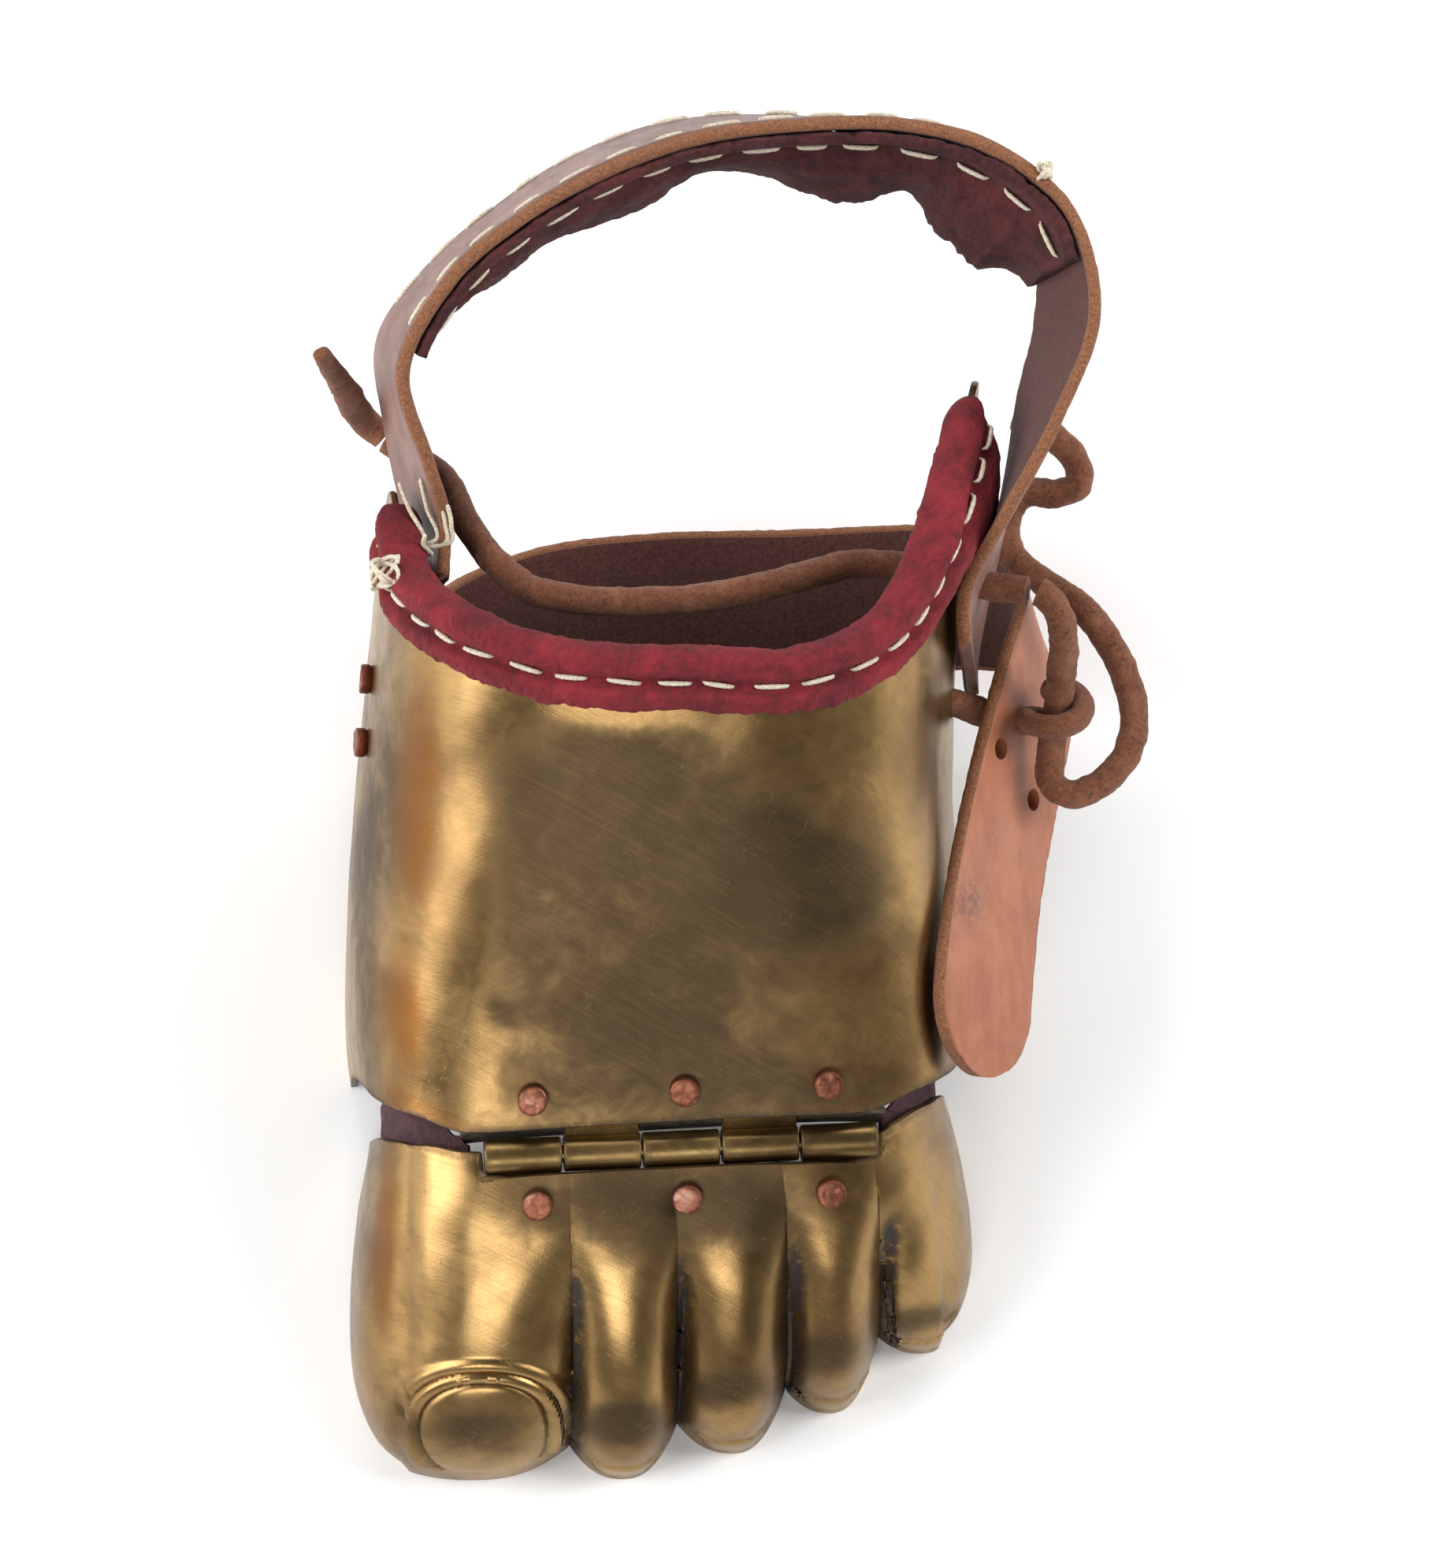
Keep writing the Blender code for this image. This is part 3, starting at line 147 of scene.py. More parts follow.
# Ends of the ankle strap on the plate: place round the arch and y. Between them it runs free: x, y and z as
# shares, and the lean of the top edge inward in degrees.
ANKLE_INSIDE = ((0.128, 0.630), (0.128, 0.668))
ANKLE_FREE = ((-0.875, 0.735, 0.800, 6), (-0.928, 0.792, 0.900, 13), (-0.772, 0.848, 0.960, 21),
    (-0.564, 0.890, 0.990, 24), (-0.310, 0.929, 1.000, 27), (0.003, 0.959, 1.000, 28),
    (0.353, 0.968, 1.000, 25), (0.699, 0.963, 0.995, 19), (0.991, 0.937, 0.980, 10),
    (1.203, 0.886, 0.960, -1), (1.245, 0.820, 0.925, -15), (1.159, 0.756, 0.865, -15),
    (1.064, 0.695, 0.780, -4))
ANKLE_OUTSIDE = ((0.872, 0.620), (0.880, 0.585))
ANKLE_BULGE = 0.8 * MM
ANKLE_INNER_BULGE = 2.6 * MM
STRAP_CENTRE = (0.37, 0.55, 1.73)
PAD_FROM = 0.20
PAD_TO = 0.72
HEEL_INSIDE = ((0.136, 0.553), (0.083, 0.575))
HEEL_BULGE = 1.1 * MM
HEEL_ROW_TILT = math.radians(22)
HEEL_RIVETS = ((0.1005, 0.540), (0.1015, 0.584))
ANKLE_RIVET = (0.1237, 0.655)
# Free run of the heel strap: x, y and z as shares, and the direction across it
HEEL_FREE = ((-0.870, 0.610, 0.260, 0.02, 0.93, 0.36), (-0.700, 0.665, 0.135, 0.10, 0.92, 0.38),
    (-0.400, 0.700, 0.082, 0.05, 0.88, 0.46), (0.000, 0.712, 0.078, 0.00, 0.87, 0.50),
    (0.450, 0.714, 0.085, 0.05, 0.87, 0.48), (0.850, 0.712, 0.135, 0.20, 0.84, 0.48),
    (1.100, 0.690, 0.250, 0.00, 0.66, 0.74), (1.215, 0.645, 0.375, -0.25, 0.25, 0.90),
    (1.200, 0.590, 0.430, -0.50, 0.10, 0.84), (1.130, 0.520, 0.435, -0.58, 0.05, 0.80),
    (1.055, 0.440, 0.440, -0.61, 0.03, 0.79), (1.000, 0.360, 0.475, -0.64, 0.02, 0.77),
    (0.970, 0.275, 0.420, -0.66, 0.00, 0.75))
TONGUE_HOLES = ((0.82, -0.18), (0.78, 0.31))
HOLE_RADIUS = 2.0 * MM
# Lace, as chosen points with x, y and z as shares
LACE_RUN = ((-0.945, 0.768, 0.628), (-0.856, 0.753, 0.622), (-0.753, 0.729, 0.653), (-0.682, 0.682, 0.714),
            (-0.582, 0.642, 0.755), (-0.450, 0.617, 0.777), (-0.200, 0.612, 0.765), (0.100, 0.618, 0.755),
            (0.350, 0.634, 0.740), (0.560, 0.650, 0.720), (0.760, 0.650, 0.700), (0.900, 0.640, 0.700),
            (1.035, 0.632, 0.715), (1.130, 0.627, 0.730))
LACE_BAR = ((0.780, 0.565, 0.565), (0.920, 0.566, 0.520), (1.020, 0.563, 0.480), (1.100, 0.560, 0.470),
            (1.180, 0.556, 0.485))
LACE_END = ((-0.9503, 0.7689, 0.6284), (-1.000, 0.7775, 0.640), (-1.045, 0.780, 0.700),
            (-1.075, 0.780, 0.790), (-1.117, 0.779, 0.888), (-1.159, 0.778, 0.990))
LACE_STRAND = ((1.160, 0.6255, 0.736), (1.190, 0.621, 0.734), (1.235, 0.608, 0.710), (1.255, 0.592, 0.655),
               (1.255, 0.583, 0.612))
LACE_LOOP = ((1.235, 0.533, 0.500), (1.235, 0.508, 0.475), (1.310, 0.498, 0.468), (1.415, 0.509, 0.475),
             (1.490, 0.531, 0.490), (1.510, 0.558, 0.510), (1.475, 0.589, 0.535), (1.410, 0.615, 0.560),
             (1.330, 0.640, 0.565), (1.220, 0.662, 0.545), (1.125, 0.686, 0.530), (1.105, 0.716, 0.530),
             (1.165, 0.736, 0.550), (1.265, 0.732, 0.575), (1.335, 0.738, 0.595), (1.315, 0.757, 0.615),
             (1.215, 0.776, 0.640), (1.120, 0.784, 0.655))
KNOT_MIDDLE = (1.244, 0.5575, 0.537)

# Smoky stains and heat stains on the brass, as seen: middle x and y, half width and half height, lean in
# degrees and strength. Positive darkens, either as a smoky stain or as a painted dark reflection: of the
# camera's side over the instep's middle, and of the dark foreground on the toes' fronts. Negative leaves the
# metal bright where highlights fall, as painted highlight.
SMOKE_AND_PAINTED_REFLECTIONS = ((1290, 1130, 250, 200, 0, 0.85), (1190, 1010, 90, 70, 15, 0.35), (1245, 985, 75, 42, -10, 0.45),
    (1385, 1085, 62, 70, 25, 0.55), (1470, 1105, 60, 50, -20, 0.40), (1268, 1252, 78, 34, 5, 0.65),
    (1113, 1228, 26, 16, 10, 0.45), (1300, 1310, 230, 44, 0, 0.50), (1010, 960, 30, 150, 4, 0.45),
    (985, 1150, 16, 200, 0, 0.50), (1130, 900, 60, 24, 30, 0.30), (1480, 985, 70, 30, -35, -0.35),
    (1540, 1010, 26, 150, 4, -0.45), (1440, 940, 90, 22, -12, -0.45), (1230, 930, 90, 14, 6, -0.50),
    (1080, 1120, 36, 170, 2, -0.45), (1075, 1270, 40, 60, 0, -0.40), (1480, 1230, 70, 60, 20, -0.25),
    (1280, 1415, 200, 60, 0, 0.80), (1260, 1480, 60, 30, 0, 0.30), (1100, 1645, 62, 34, 0, 0.75),
    (1242, 1640, 40, 26, 0, 1.0), (1342, 1606, 44, 24, -8, 0.8), (1438, 1572, 40, 24, -14, 0.85),
    (1540, 1536, 44, 16, -10, 0.7), (1345, 1440, 60, 30, 0, 0.25), (1010, 1620, 24, 60, -20, 0.35),
    (990, 1400, 12, 120, 0, 0.30), (1050, 1500, 50, 90, 0, -0.40))
BURNT = ((1038, 1000, 26, 150, 3, 0.9), (1022, 1230, 30, 70, -8, 0.8), (1004, 1460, 14, 110, 3, 0.9),
    (1045, 1330, 60, 14, 25, 0.6), (1585, 1420, 10, 70, -4, 0.5), (1170, 890, 60, 10, 24, 0.3))

# Fullness of the ankle strap's lining along it: share of its length, and share of its thickness
PUCKERS = ((0.0, 0.45), (0.08, 0.60), (0.16, 0.85), (0.24, 0.80), (0.33, 1.05), (0.41, 1.10), (0.47, 0.78),
           (0.54, 0.82), (0.62, 1.28), (0.68, 1.20), (0.735, 0.78), (0.80, 1.22), (0.90, 1.20), (0.96, 0.95),
           (1.0, 0.6))


def curve_value(table, key, column=1):
    """Smooth value of one column of a table at the key, with flat ends and no overshoot."""
    if key <= table[0][0]:
        return table[0][column]
    for index in range(len(table) - 1):
        if key <= table[index + 1][0]:
            break
    else:
        return table[-1][column]
    before, after = table[index], table[index + 1]
    left = table[max(index - 1, 0)]
    right = table[min(index + 2, len(table) - 1)]
    span = after[0] - before[0]
    h = (key - before[0]) / span
    slope_in = (after[column] - left[column]) / (after[0] - left[0]) * span
    slope_out = (right[column] - before[column]) / (right[0] - before[0]) * span
    return ((2 * h ** 3 - 3 * h ** 2 + 1) * before[column] + (h ** 3 - 2 * h ** 2 + h) * slope_in
            + (3 * h ** 2 - 2 * h ** 3) * after[column] + (h ** 3 - h ** 2) * slope_out)


def arch_at(y):
    key = y / GUARD_LENGTH
    return (curve_value(ARCH, key, 1) * HALF_WIDTH, curve_value(ARCH, key, 2) * COLLAR_HEIGHT,
            curve_value(ARCH, key, 3) * HALF_WIDTH, curve_value(ARCH, key, 4))


def arch_point(around, y):
    """Point on the instep's arch: around runs from 0 at the medial rim to 1 at the lateral rim."""
    half_width, height, middle, squareness = arch_at(y)
    angle = math.pi * (1.0 - around)
    power = 2.0 / squareness
    across = math.copysign(abs(math.cos(angle)) ** power, math.cos(angle))
    return Vector((middle + half_width * across, y, height * max(math.sin(angle), 0.0) ** power))


def around_at(x, y):
    half_width, _height, middle, squareness = arch_at(y)
    across = min(max((x - middle) / half_width, -1.0), 1.0)
    cosine = math.copysign(abs(across) ** (squareness / 2.0), across)
    return 1.0 - math.acos(cosine) / math.pi


def skewed(x, y):
    return y + x * math.tan(HINGE_SKEW)


def instep_edges(around):
    y = HINGE_BEHIND_TOES + EDGE_FROM_AXIS + curve_value(INSTEP_FRONT, around) * GUARD_LENGTH
    first = arch_point(around, y)
    return skewed(first.x, first.y), curve_value(INSTEP_REAR, around) * GUARD_LENGTH


def instep_surface(around, along):
    front, rear = instep_edges(around)
    return arch_point(around, front + (rear - front) * along)


def surface_normal(surface, around, along, step=0.004):
    here = surface(around, along)
    across = surface(min(around + step, 1.0), along) - surface(max(around - step, 0.0), along)
    back = surface(around, min(along + step, 1.0)) - surface(around, max(along - step, 0.0))
    return here, back.cross(across).normalized()


def smooth_step(low, high, value):
    share = min(max((value - low) / (high - low), 0.0), 1.0)
    return share * share * (3.0 - 2.0 * share)


def toe_rear_point(around):
    y = HINGE_BEHIND_TOES - EDGE_FROM_AXIS + curve_value(TOE_REAR, around) * GUARD_LENGTH
    point = arch_point(around, HINGE_BEHIND_TOES)
    return Vector((point.x, skewed(point.x, y), point.z * TOE_HEIGHT / arch_at(HINGE_BEHIND_TOES)[1]))


def toe_outline(x):
    """Front edge on the floor across the toes, from the tips back to the notches between them."""
    share = x / HALF_WIDTH
    for index, (middle, half_width, tip, notch) in enumerate(TOES):
        if share <= middle + half_width or index == len(TOES) - 1:
            break
    inner_notch = TOES[index - 1][3] if index else 0.02
    side = (share - middle) / half_width
    drop = (notch if side > 0 else inner_notch) - tip
    return (tip + drop * min(abs(side), 1.0) ** 2.4) * GUARD_LENGTH


def side_table(rows, corner, last):
    row = (corner, toe_rear_point(corner).x / HALF_WIDTH, toe_rear_point(corner).y / GUARD_LENGTH)
    return rows + (row,) if last else (row,) + rows


def toe_floor_point(around, x):
    if around < TOE_MEDIAL_SIDE[-1][0]:
        side = side_table(TOE_MEDIAL_SIDE, 0.0, last=False)
    elif around > TOE_LATERAL_SIDE[0][0]:
        side = side_table(TOE_LATERAL_SIDE, 1.0, last=True)
    else:
        return Vector((x, toe_outline(x), 0.0))
    x = curve_value(side, around, 1) * HALF_WIDTH
    return Vector((x, curve_value(side, around, 2) * GUARD_LENGTH, 0.0))


def toe_floor_x(around):
    low, high = TOE_MEDIAL_SIDE[-1], TOE_LATERAL_SIDE[0]
    start = toe_rear_point(low[0]).x
    end = toe_rear_point(high[0]).x
    share = (toe_rear_point(around).x - start) / (end - start)
    return (low[1] + (high[1] - low[1]) * share) * HALF_WIDTH


def toe_relief(x, forward):
    """How far the surface sinks beside the toes' crests and in the grooves between them."""
    share = x / HALF_WIDTH
    sink = 0.0
    for index, (middle, half_width, _tip, _notch) in enumerate(TOES):
        side = (share - middle) / half_width
        if abs(side) <= 1.0 or (index == 0 and side < 0) or (index == len(TOES) - 1 and side > 0):
            sink = TOE_DOME * min(abs(side), 1.0) ** 2.6
        if index < len(TOES) - 1:
            away = (share - middle - half_width) * HALF_WIDTH / GROOVE_WIDTH
            sink += GROOVE_DEPTH * math.exp(-away * away) * 0.5
    return sink * smooth_step(0.22, 0.62, forward)


def toe_point(rear, floor, forward):
    """Point on the toe plate between its rear edge, at 0, and the floor, at 1."""
    turn = forward * math.pi / 2
    advance = math.sin(turn) ** (2.0 / TOE_NOSE)
    drop = math.cos(turn) ** (2.0 / TOE_NOSE) if forward < 1.0 else 0.0
    spot = rear.lerp(floor, advance)
    height = rear.z * (1.0 - TOE_SLOPE * advance) * drop
    sink = toe_relief(spot.x, advance) * min(1.0, rear.z / (0.5 * TOE_HEIGHT)) * drop
    return Vector((spot.x, spot.y, max(height - sink, 0.0)))


def toe_surface(around, forward):
    return toe_point(toe_rear_point(around), toe_floor_point(around, toe_floor_x(around)), forward)


def beside_hinge(point):
    """Whether a point lies beyond the ends of the hinge's barrels."""
    return abs(point.x) / math.cos(HINGE_SKEW) > HINGE_LENGTH / 2 + KNUCKLE_GAP


def toe_edge_point(around):
    """Point of the toe plate's rear edge, which stands further back beside the hinge than in front of it."""
    rear = toe_rear_point(around)
    back = (rear - toe_surface(around, EDGE_TANGENT_SHARE)).normalized()
    reach = EDGE_LEAST
    if beside_hinge(rear):
        reach += curve_value(TOE_EDGE_BACK, around) * GUARD_LENGTH
    return rear + back * reach


def instep_height(x, y):
    return arch_point(around_at(x, y), y).z


def toe_height(x, y):
    around = around_at(x, HINGE_BEHIND_TOES)
    rear = toe_rear_point(around)
    front = toe_floor_point(around, toe_floor_x(around))
    advance = min(max((rear.y - y) / (rear.y - front.y), 0.0), 1.0)
    return toe_surface(around, math.asin(advance ** (TOE_NOSE / 2.0)) * 2.0 / math.pi).z


def plate_spot(height, x, y, step=0.5 * MM):
    """Point on a plate's middle surface above a spot of the floor plan, and the normal there."""
    slope_x = (height(x + step, y) - height(x - step, y)) / (2 * step)
    slope_y = (height(x, y + step) - height(x, y - step)) / (2 * step)
    return Vector((x, y, height(x, y))), Vector((-slope_x, -slope_y, 1.0)).normalized()


def hinge_frame():
    """Point on the axis, direction along it, and direction back from it."""
    top = toe_rear_point(0.5).z
    drop = PLATE_WALL / 2 + FIT + LEAF_THICKNESS / 2 - HINGE_DROP
    along = Vector((math.cos(HINGE_SKEW), math.sin(HINGE_SKEW), 0.0))
    return Vector((0.0, HINGE_BEHIND_TOES, top - drop)), along, Vector((-along.y, along.x, 0.0))


def between(p, q, r, t, h):
    """Point at share h from q to r on the smooth curve through p, q, r and t."""
    return 0.5 * (2 * q + (r - p) * h + (2 * p - 5 * q + 4 * r - t) * h * h
                  + (3 * q - p - 3 * r + t) * h ** 3)


def catmull(rows, count):
    """Evenly numbered points of a smooth curve through the rows, each a list of vectors."""
    rows = [list(row) for row in rows]
    padded = [rows[0]] + rows + [rows[-1]]
    result = []
    spans = len(rows) - 1
    for i in range(count):
        place = spans * i / (count - 1)
        k = min(int(place), spans - 1)
        result.append([between(*four, place - k) for four in zip(*padded[k:k + 4])])
    return result


def shared_point(row):
    return Vector((row[0] * HALF_WIDTH, row[1] * GUARD_LENGTH, row[2] * COLLAR_HEIGHT))


def route(table, count):
    return [point for (point,) in catmull([[shared_point(row)] for row in table], count)]


def ankle_stations(count):
    """Middle line and across direction of the ankle strap, from the medial ear round to its lateral end."""
    across_step = 0.03
    lift = PLATE_WALL / 2 + FIT + STRAP_THICKNESS / 2
    over_trim = FIT + TRIM_THICKNESS + ANKLE_INNER_BULGE
    ends = []
    for table, side in ((ANKLE_INSIDE, -1.0), (ANKLE_OUTSIDE, 1.0)):
        block = []
        for around, share in table:
            y = share * GUARD_LENGTH
            low = arch_point(around - across_step, y)
            across = (arch_point(around + across_step, y) - low).normalized()
            if across.z < 0:
                across = -across
            outward = Vector((math.copysign(across.z, low.x), 0.0, -across.x * math.copysign(1.0, low.x)))
            extra = ANKLE_BULGE if side > 0 else over_trim
            block.append((arch_point(around, y) + outward * side * (lift + extra), across))
        ends.append(block)
    points = [shared_point(row) for row in ANKLE_FREE]
    free = []
    for index, (point, row) in enumerate(zip(points, ANKLE_FREE)):
        run = points[min(index + 1, len(points) - 1)] - points[max(index - 1, 0)]
        inward = run.cross(UP).normalized()
        upright = run.normalized().cross(-inward).normalized()
        if upright.z < 0:
            upright = -upright
        lean = math.radians(row[3])
        free.append((point, upright * math.cos(lean) + inward * math.sin(lean)))
    return catmull(ends[0] + free + ends[1], count)


def heel_stations(count):
    """Middle line and across direction of the heel strap, from the medial wall under the arch to its tip."""
    lift = PLATE_WALL / 2 + FIT + HEEL_BULGE + HEEL_STRAP_THICKNESS / 2
    rows = []
    for around, share in HEEL_INSIDE:
        point = arch_point(around, share * GUARD_LENGTH) + Vector((lift, 0.0, 0.0))
        rows.append((point, Vector((0.0, math.cos(HEEL_ROW_TILT), math.sin(HEEL_ROW_TILT)))))
    for row in HEEL_FREE:
        rows.append((shared_point(row), Vector(row[3:6]).normalized()))
    return catmull(rows, count)


def seen_at(points):
    """Pixels of the picture at which working points are seen, for an array of points."""
    away = np.asarray(points, float) - np.array(CAMERA_PLACE)
    depth = away @ np.array(CAMERA_FORWARD)
    return (SEEN_MIDDLE[0] + SEEN_FOCUS * away[..., 0] / depth,
            SEEN_MIDDLE[1] - SEEN_FOCUS * (away @ np.array(CAMERA_UP)) / depth)


def seen_on_height(x, y, z):
    """Working point at height z that is seen at one pixel of the picture."""
    ray = (CAMERA_FORWARD + Vector(((x - SEEN_MIDDLE[0]) / SEEN_FOCUS, 0.0, 0.0))
           + CAMERA_UP * ((SEEN_MIDDLE[1] - y) / SEEN_FOCUS))
    return CAMERA_PLACE + ray * ((z - CAMERA_PLACE.z) / ray.z)


def stains(table, px, py):
    """Sum of soft oval stains at the pixels px, py."""
    total = np.zeros_like(px)
    for middle_x, middle_y, half_width, half_height, lean, strength in table:
        turn = math.radians(lean)
        dx, dy = px - middle_x, py - middle_y
        u = (dx * math.cos(turn) + dy * math.sin(turn)) / half_width
        v = (dy * math.cos(turn) - dx * math.sin(turn)) / half_height
        total += strength * np.exp(-1.2 * (u * u + v * v) ** 1.3)
    return total


def grid_quads(rows, columns, first=0, flip=False):
    """Faces of a grid of rows by columns points."""
    start = (np.arange(rows - 1)[:, None] * columns + np.arange(columns - 1)[None, :]).ravel() + first
    quads = np.stack([start, start + 1, start + columns + 1, start + columns], 1)
    return quads[:, ::-1] if flip else quads


def rim_indices(rows, columns):
    """Indices round the border of a grid, in order."""
    top = list(range(columns))
    right = [r * columns + columns - 1 for r in range(1, rows)]
    bottom = [(rows - 1) * columns + c for c in range(columns - 2, -1, -1)]
    left = [r * columns for r in range(rows - 2, 0, -1)]
    return top + right + bottom + left


def make_mesh(name, points, faces, masks=None, sharp=50.0):
    """Object from an array of points and faces, with named shares from 0 to 1 for its material."""
    mesh = bpy.data.meshes.new(name)
    mesh.from_pydata([tuple(point) for point in points], [], [tuple(int(i) for i in face) for face in faces])
    for key, values in (masks or {}).items():
        layer = mesh.attributes.new(key, "FLOAT", "POINT")
        layer.data.foreach_set("value", np.asarray(values, np.float32).ravel())
    build = bmesh.new()
    build.from_mesh(mesh)
    bmesh.ops.remove_doubles(build, verts=build.verts, dist=0.005 * MM)
    bmesh.ops.recalc_face_normals(build, faces=build.faces)
    build.to_mesh(mesh)
    build.free()
    mesh.shade_smooth()
    mesh.set_sharp_from_angle(angle=math.radians(sharp))
    obj = bpy.data.objects.new(name, mesh)
    bpy.context.scene.collection.objects.link(obj)
    return obj


def normals_of(grid, outward):
    """Unit normals of a grid of points, on the side of the outward vectors."""
    across = np.gradient(grid, axis=1)
    down = np.gradient(grid, axis=0)
    normal = np.cross(across, down)
    size = np.linalg.norm(normal, axis=2, keepdims=True)
    weak = size[..., 0] < 1e-12
    normal = normal / np.maximum(size, 1e-12)
    normal *= np.sign((normal * outward).sum(2, keepdims=True) + 1e-12)
    normal[weak] = unit_rows(outward[weak])
    return normal


def shell(name, grid, normal, wall, masks):
    """Closed skin of one wall thickness round a grid of middle points, with slightly rounded rims."""
    rows, columns = grid.shape[:2]
    count = rows * columns
    rim = rim_indices(rows, columns)
    outer = (grid + normal * wall / 2).reshape(-1, 3)
    inner = (grid - normal * wall / 2).reshape(-1, 3)
    middle = grid.reshape(-1, 3)[rim]
    inset = []
    flat = grid.reshape(-1, 3)
    for index in rim:
        r, c = divmod(index, columns)
        towards = flat[min(max(r, 1), rows - 2) * columns + min(max(c, 1), columns - 2)]
        away = flat[index] - towards
        inset.append(away / max(np.linalg.norm(away), 1e-9))
    edge = middle + np.array(inset) * wall * 0.22
    points = np.concatenate([outer, inner, edge])
    points[:, 2] = np.maximum(points[:, 2], 0.0)
    faces = list(grid_quads(rows, columns)) + list(grid_quads(rows, columns, count, flip=True))
    for k, index in enumerate(rim):
        after = (k + 1) % len(rim)
        faces.append((rim[after], index, 2 * count + k, 2 * count + after))
        faces.append((2 * count + after, 2 * count + k, count + index, count + rim[after]))
    doubled = {}
    for key, values in masks.items():
        flat_values = values.ravel()
        doubled[key] = np.concatenate([flat_values, flat_values, flat_values[rim]])
    doubled["inside"] = np.concatenate([np.zeros(count), np.ones(count), np.full(len(rim), 0.5)])
    return make_mesh(name, points, faces, doubled)


def rumple(points, size, depth, seed=0.0):
    """Smooth noise from -depth to depth at each point, for lumps of one size."""
    offset = Vector((seed, seed * 1.7, -seed))
    return np.array([noise.noise(Vector(point) / size + offset) for point in points]) * depth


def rumpled(grid, size, depth, seed):
    """The same noise for a grid of points, as a grid of heights."""
    return rumple(grid.reshape(-1, 3), size, depth, seed).reshape(grid.shape[:2])


def from_middle(sections):
    """The sections' points in one list, with their offsets from the middle of their section."""
    flat = sections.reshape(-1, 3)
    away = flat - np.repeat(sections.mean(1), sections.shape[1], 0)
    return flat, away


def unit_rows(vectors):
    return vectors / np.maximum(np.linalg.norm(vectors, axis=1, keepdims=True), 1e-9)


def tube_sections(points, radius, sides, flatness=1.0, twist=0.0):
    """Sections of a tube along points. radius is one number or one for each point."""
    points = [Vector(point) for point in points]
    radii = np.broadcast_to(np.asarray(radius, float), (len(points),)).copy()
    radii[[0, -1]] *= 0.55
    run = (points[1] - points[0]).normalized()
    side = run.orthogonal().normalized()
    sections = []
    for index, point in enumerate(points):
        new_run = (points[min(index + 1, len(points) - 1)] - points[max(index - 1, 0)]).normalized()
        side = (run.rotation_difference(new_run).to_matrix() @ side).normalized()
        run = new_run
        rise = run.cross(side)
        section = []
        for k in range(sides):
            turn = 2 * math.pi * k / sides + twist * index
            flat = 1.0 + (flatness - 1.0) * abs(math.sin(turn)) ** 2
            section.append(point + (side * math.cos(turn) + rise * math.sin(turn)) * radii[index] * flat)
        sections.append(section)
    return np.array([[tuple(p) for p in section] for section in sections])


def settle(obj, shader, body, replaced=()):
    """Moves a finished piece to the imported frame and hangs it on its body."""
    obj.data.transform(Matrix.Translation(SHIFT))
    obj.data.materials.clear()
    obj.data.materials.append(shader)
    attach(obj, body)
    if replaced:
        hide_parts(*replaced)
    return obj


class Shader:
    """One material's nodes, with short ways to add the nodes it is made of."""

    def __init__(self, name):
        self.material = bpy.data.materials.new(name)
        self.material.use_nodes = True
        self.tree = self.material.node_tree
        self.surface = self.tree.nodes["Principled BSDF"]
        self.place = self.add("ShaderNodeTexCoord").outputs["Object"]

    def add(self, kind, inputs=None, **settings):
        node = self.tree.nodes.new(kind)
        for key, value in settings.items():
            setattr(node, key, value)
        for key, value in (inputs or {}).items():
            self.plug(node.inputs[key], value)
        return node

    def plug(self, socket, value):
        if isinstance(value, bpy.types.NodeSocket):
            self.tree.links.new(value, socket)
        elif isinstance(value, tuple) and len(value) == 3 and socket.type == "RGBA":
            socket.default_value = (*value, 1.0)
        else:
            socket.default_value = value

    def mask(self, name):
        return self.add("ShaderNodeAttribute", attribute_name=name).outputs["Fac"]

    def stretched(self, scale, turn=(0.0, 0.0, 0.0)):
        turned = self.add("ShaderNodeMapping", {"Vector": self.place, "Rotation": turn})
        return self.add("ShaderNodeMapping", {"Vector": turned.outputs[0], "Scale": scale}).outputs[0]

    def noise(self, scale, detail=4.0, rough=0.55, warp=0.0, place=None):
        inputs = {"Vector": place or self.place, "Scale": scale, "Detail": detail, "Roughness": rough,
                  "Distortion": warp}
        return self.add("ShaderNodeTexNoise", inputs).outputs["Fac"]

    def cells(self, scale, feature="DISTANCE_TO_EDGE"):
        node = self.add("ShaderNodeTexVoronoi", {"Vector": self.place, "Scale": scale}, feature=feature)
        return node.outputs["Distance"]

    def band(self, value, low, high, start=0.0, end=1.0):
        inputs = {"Value": value, "From Min": low, "From Max": high, "To Min": start, "To Max": end}
        return self.add("ShaderNodeMapRange", inputs, interpolation_type="SMOOTHSTEP").outputs["Result"]

    def math(self, operation, a, b=0.0, clamp=False):
        return self.add("ShaderNodeMath", {0: a, 1: b}, operation=operation, use_clamp=clamp).outputs[0]

    def times(self, a, b, clamp=False):
        return self.math("MULTIPLY", a, b, clamp)

    def plus(self, a, b, clamp=False):
        return self.math("ADD", a, b, clamp)

    def mix(self, share, a, b):
        node = self.add("ShaderNodeMix", data_type="RGBA")
        self.plug(node.inputs[0], share)
        self.plug(node.inputs[6], a)
        self.plug(node.inputs[7], b)
        return node.outputs[2]

    def bump(self, *layers):
        """Normal from layers of (height, depth in metres, strength)."""
        normal = None
        for height, depth, strength in layers:
            inputs = {"Height": height, "Distance": depth, "Strength": strength}
            if normal is not None:
                inputs["Normal"] = normal
            normal = self.add("ShaderNodeBump", inputs).outputs["Normal"]
        return normal

    def finish(self, colour, roughness, metallic=0.0, normal=None, **constants):
        self.plug(self.surface.inputs["Base Color"], colour)
        self.plug(self.surface.inputs["Roughness"], roughness)
        self.plug(self.surface.inputs["Metallic"], metallic)
        if normal is not None:
            self.plug(self.surface.inputs["Normal"], normal)
        for key, value in constants.items():
            self.plug(self.surface.inputs[key.replace("_", " ").title()], value)
        return self.material


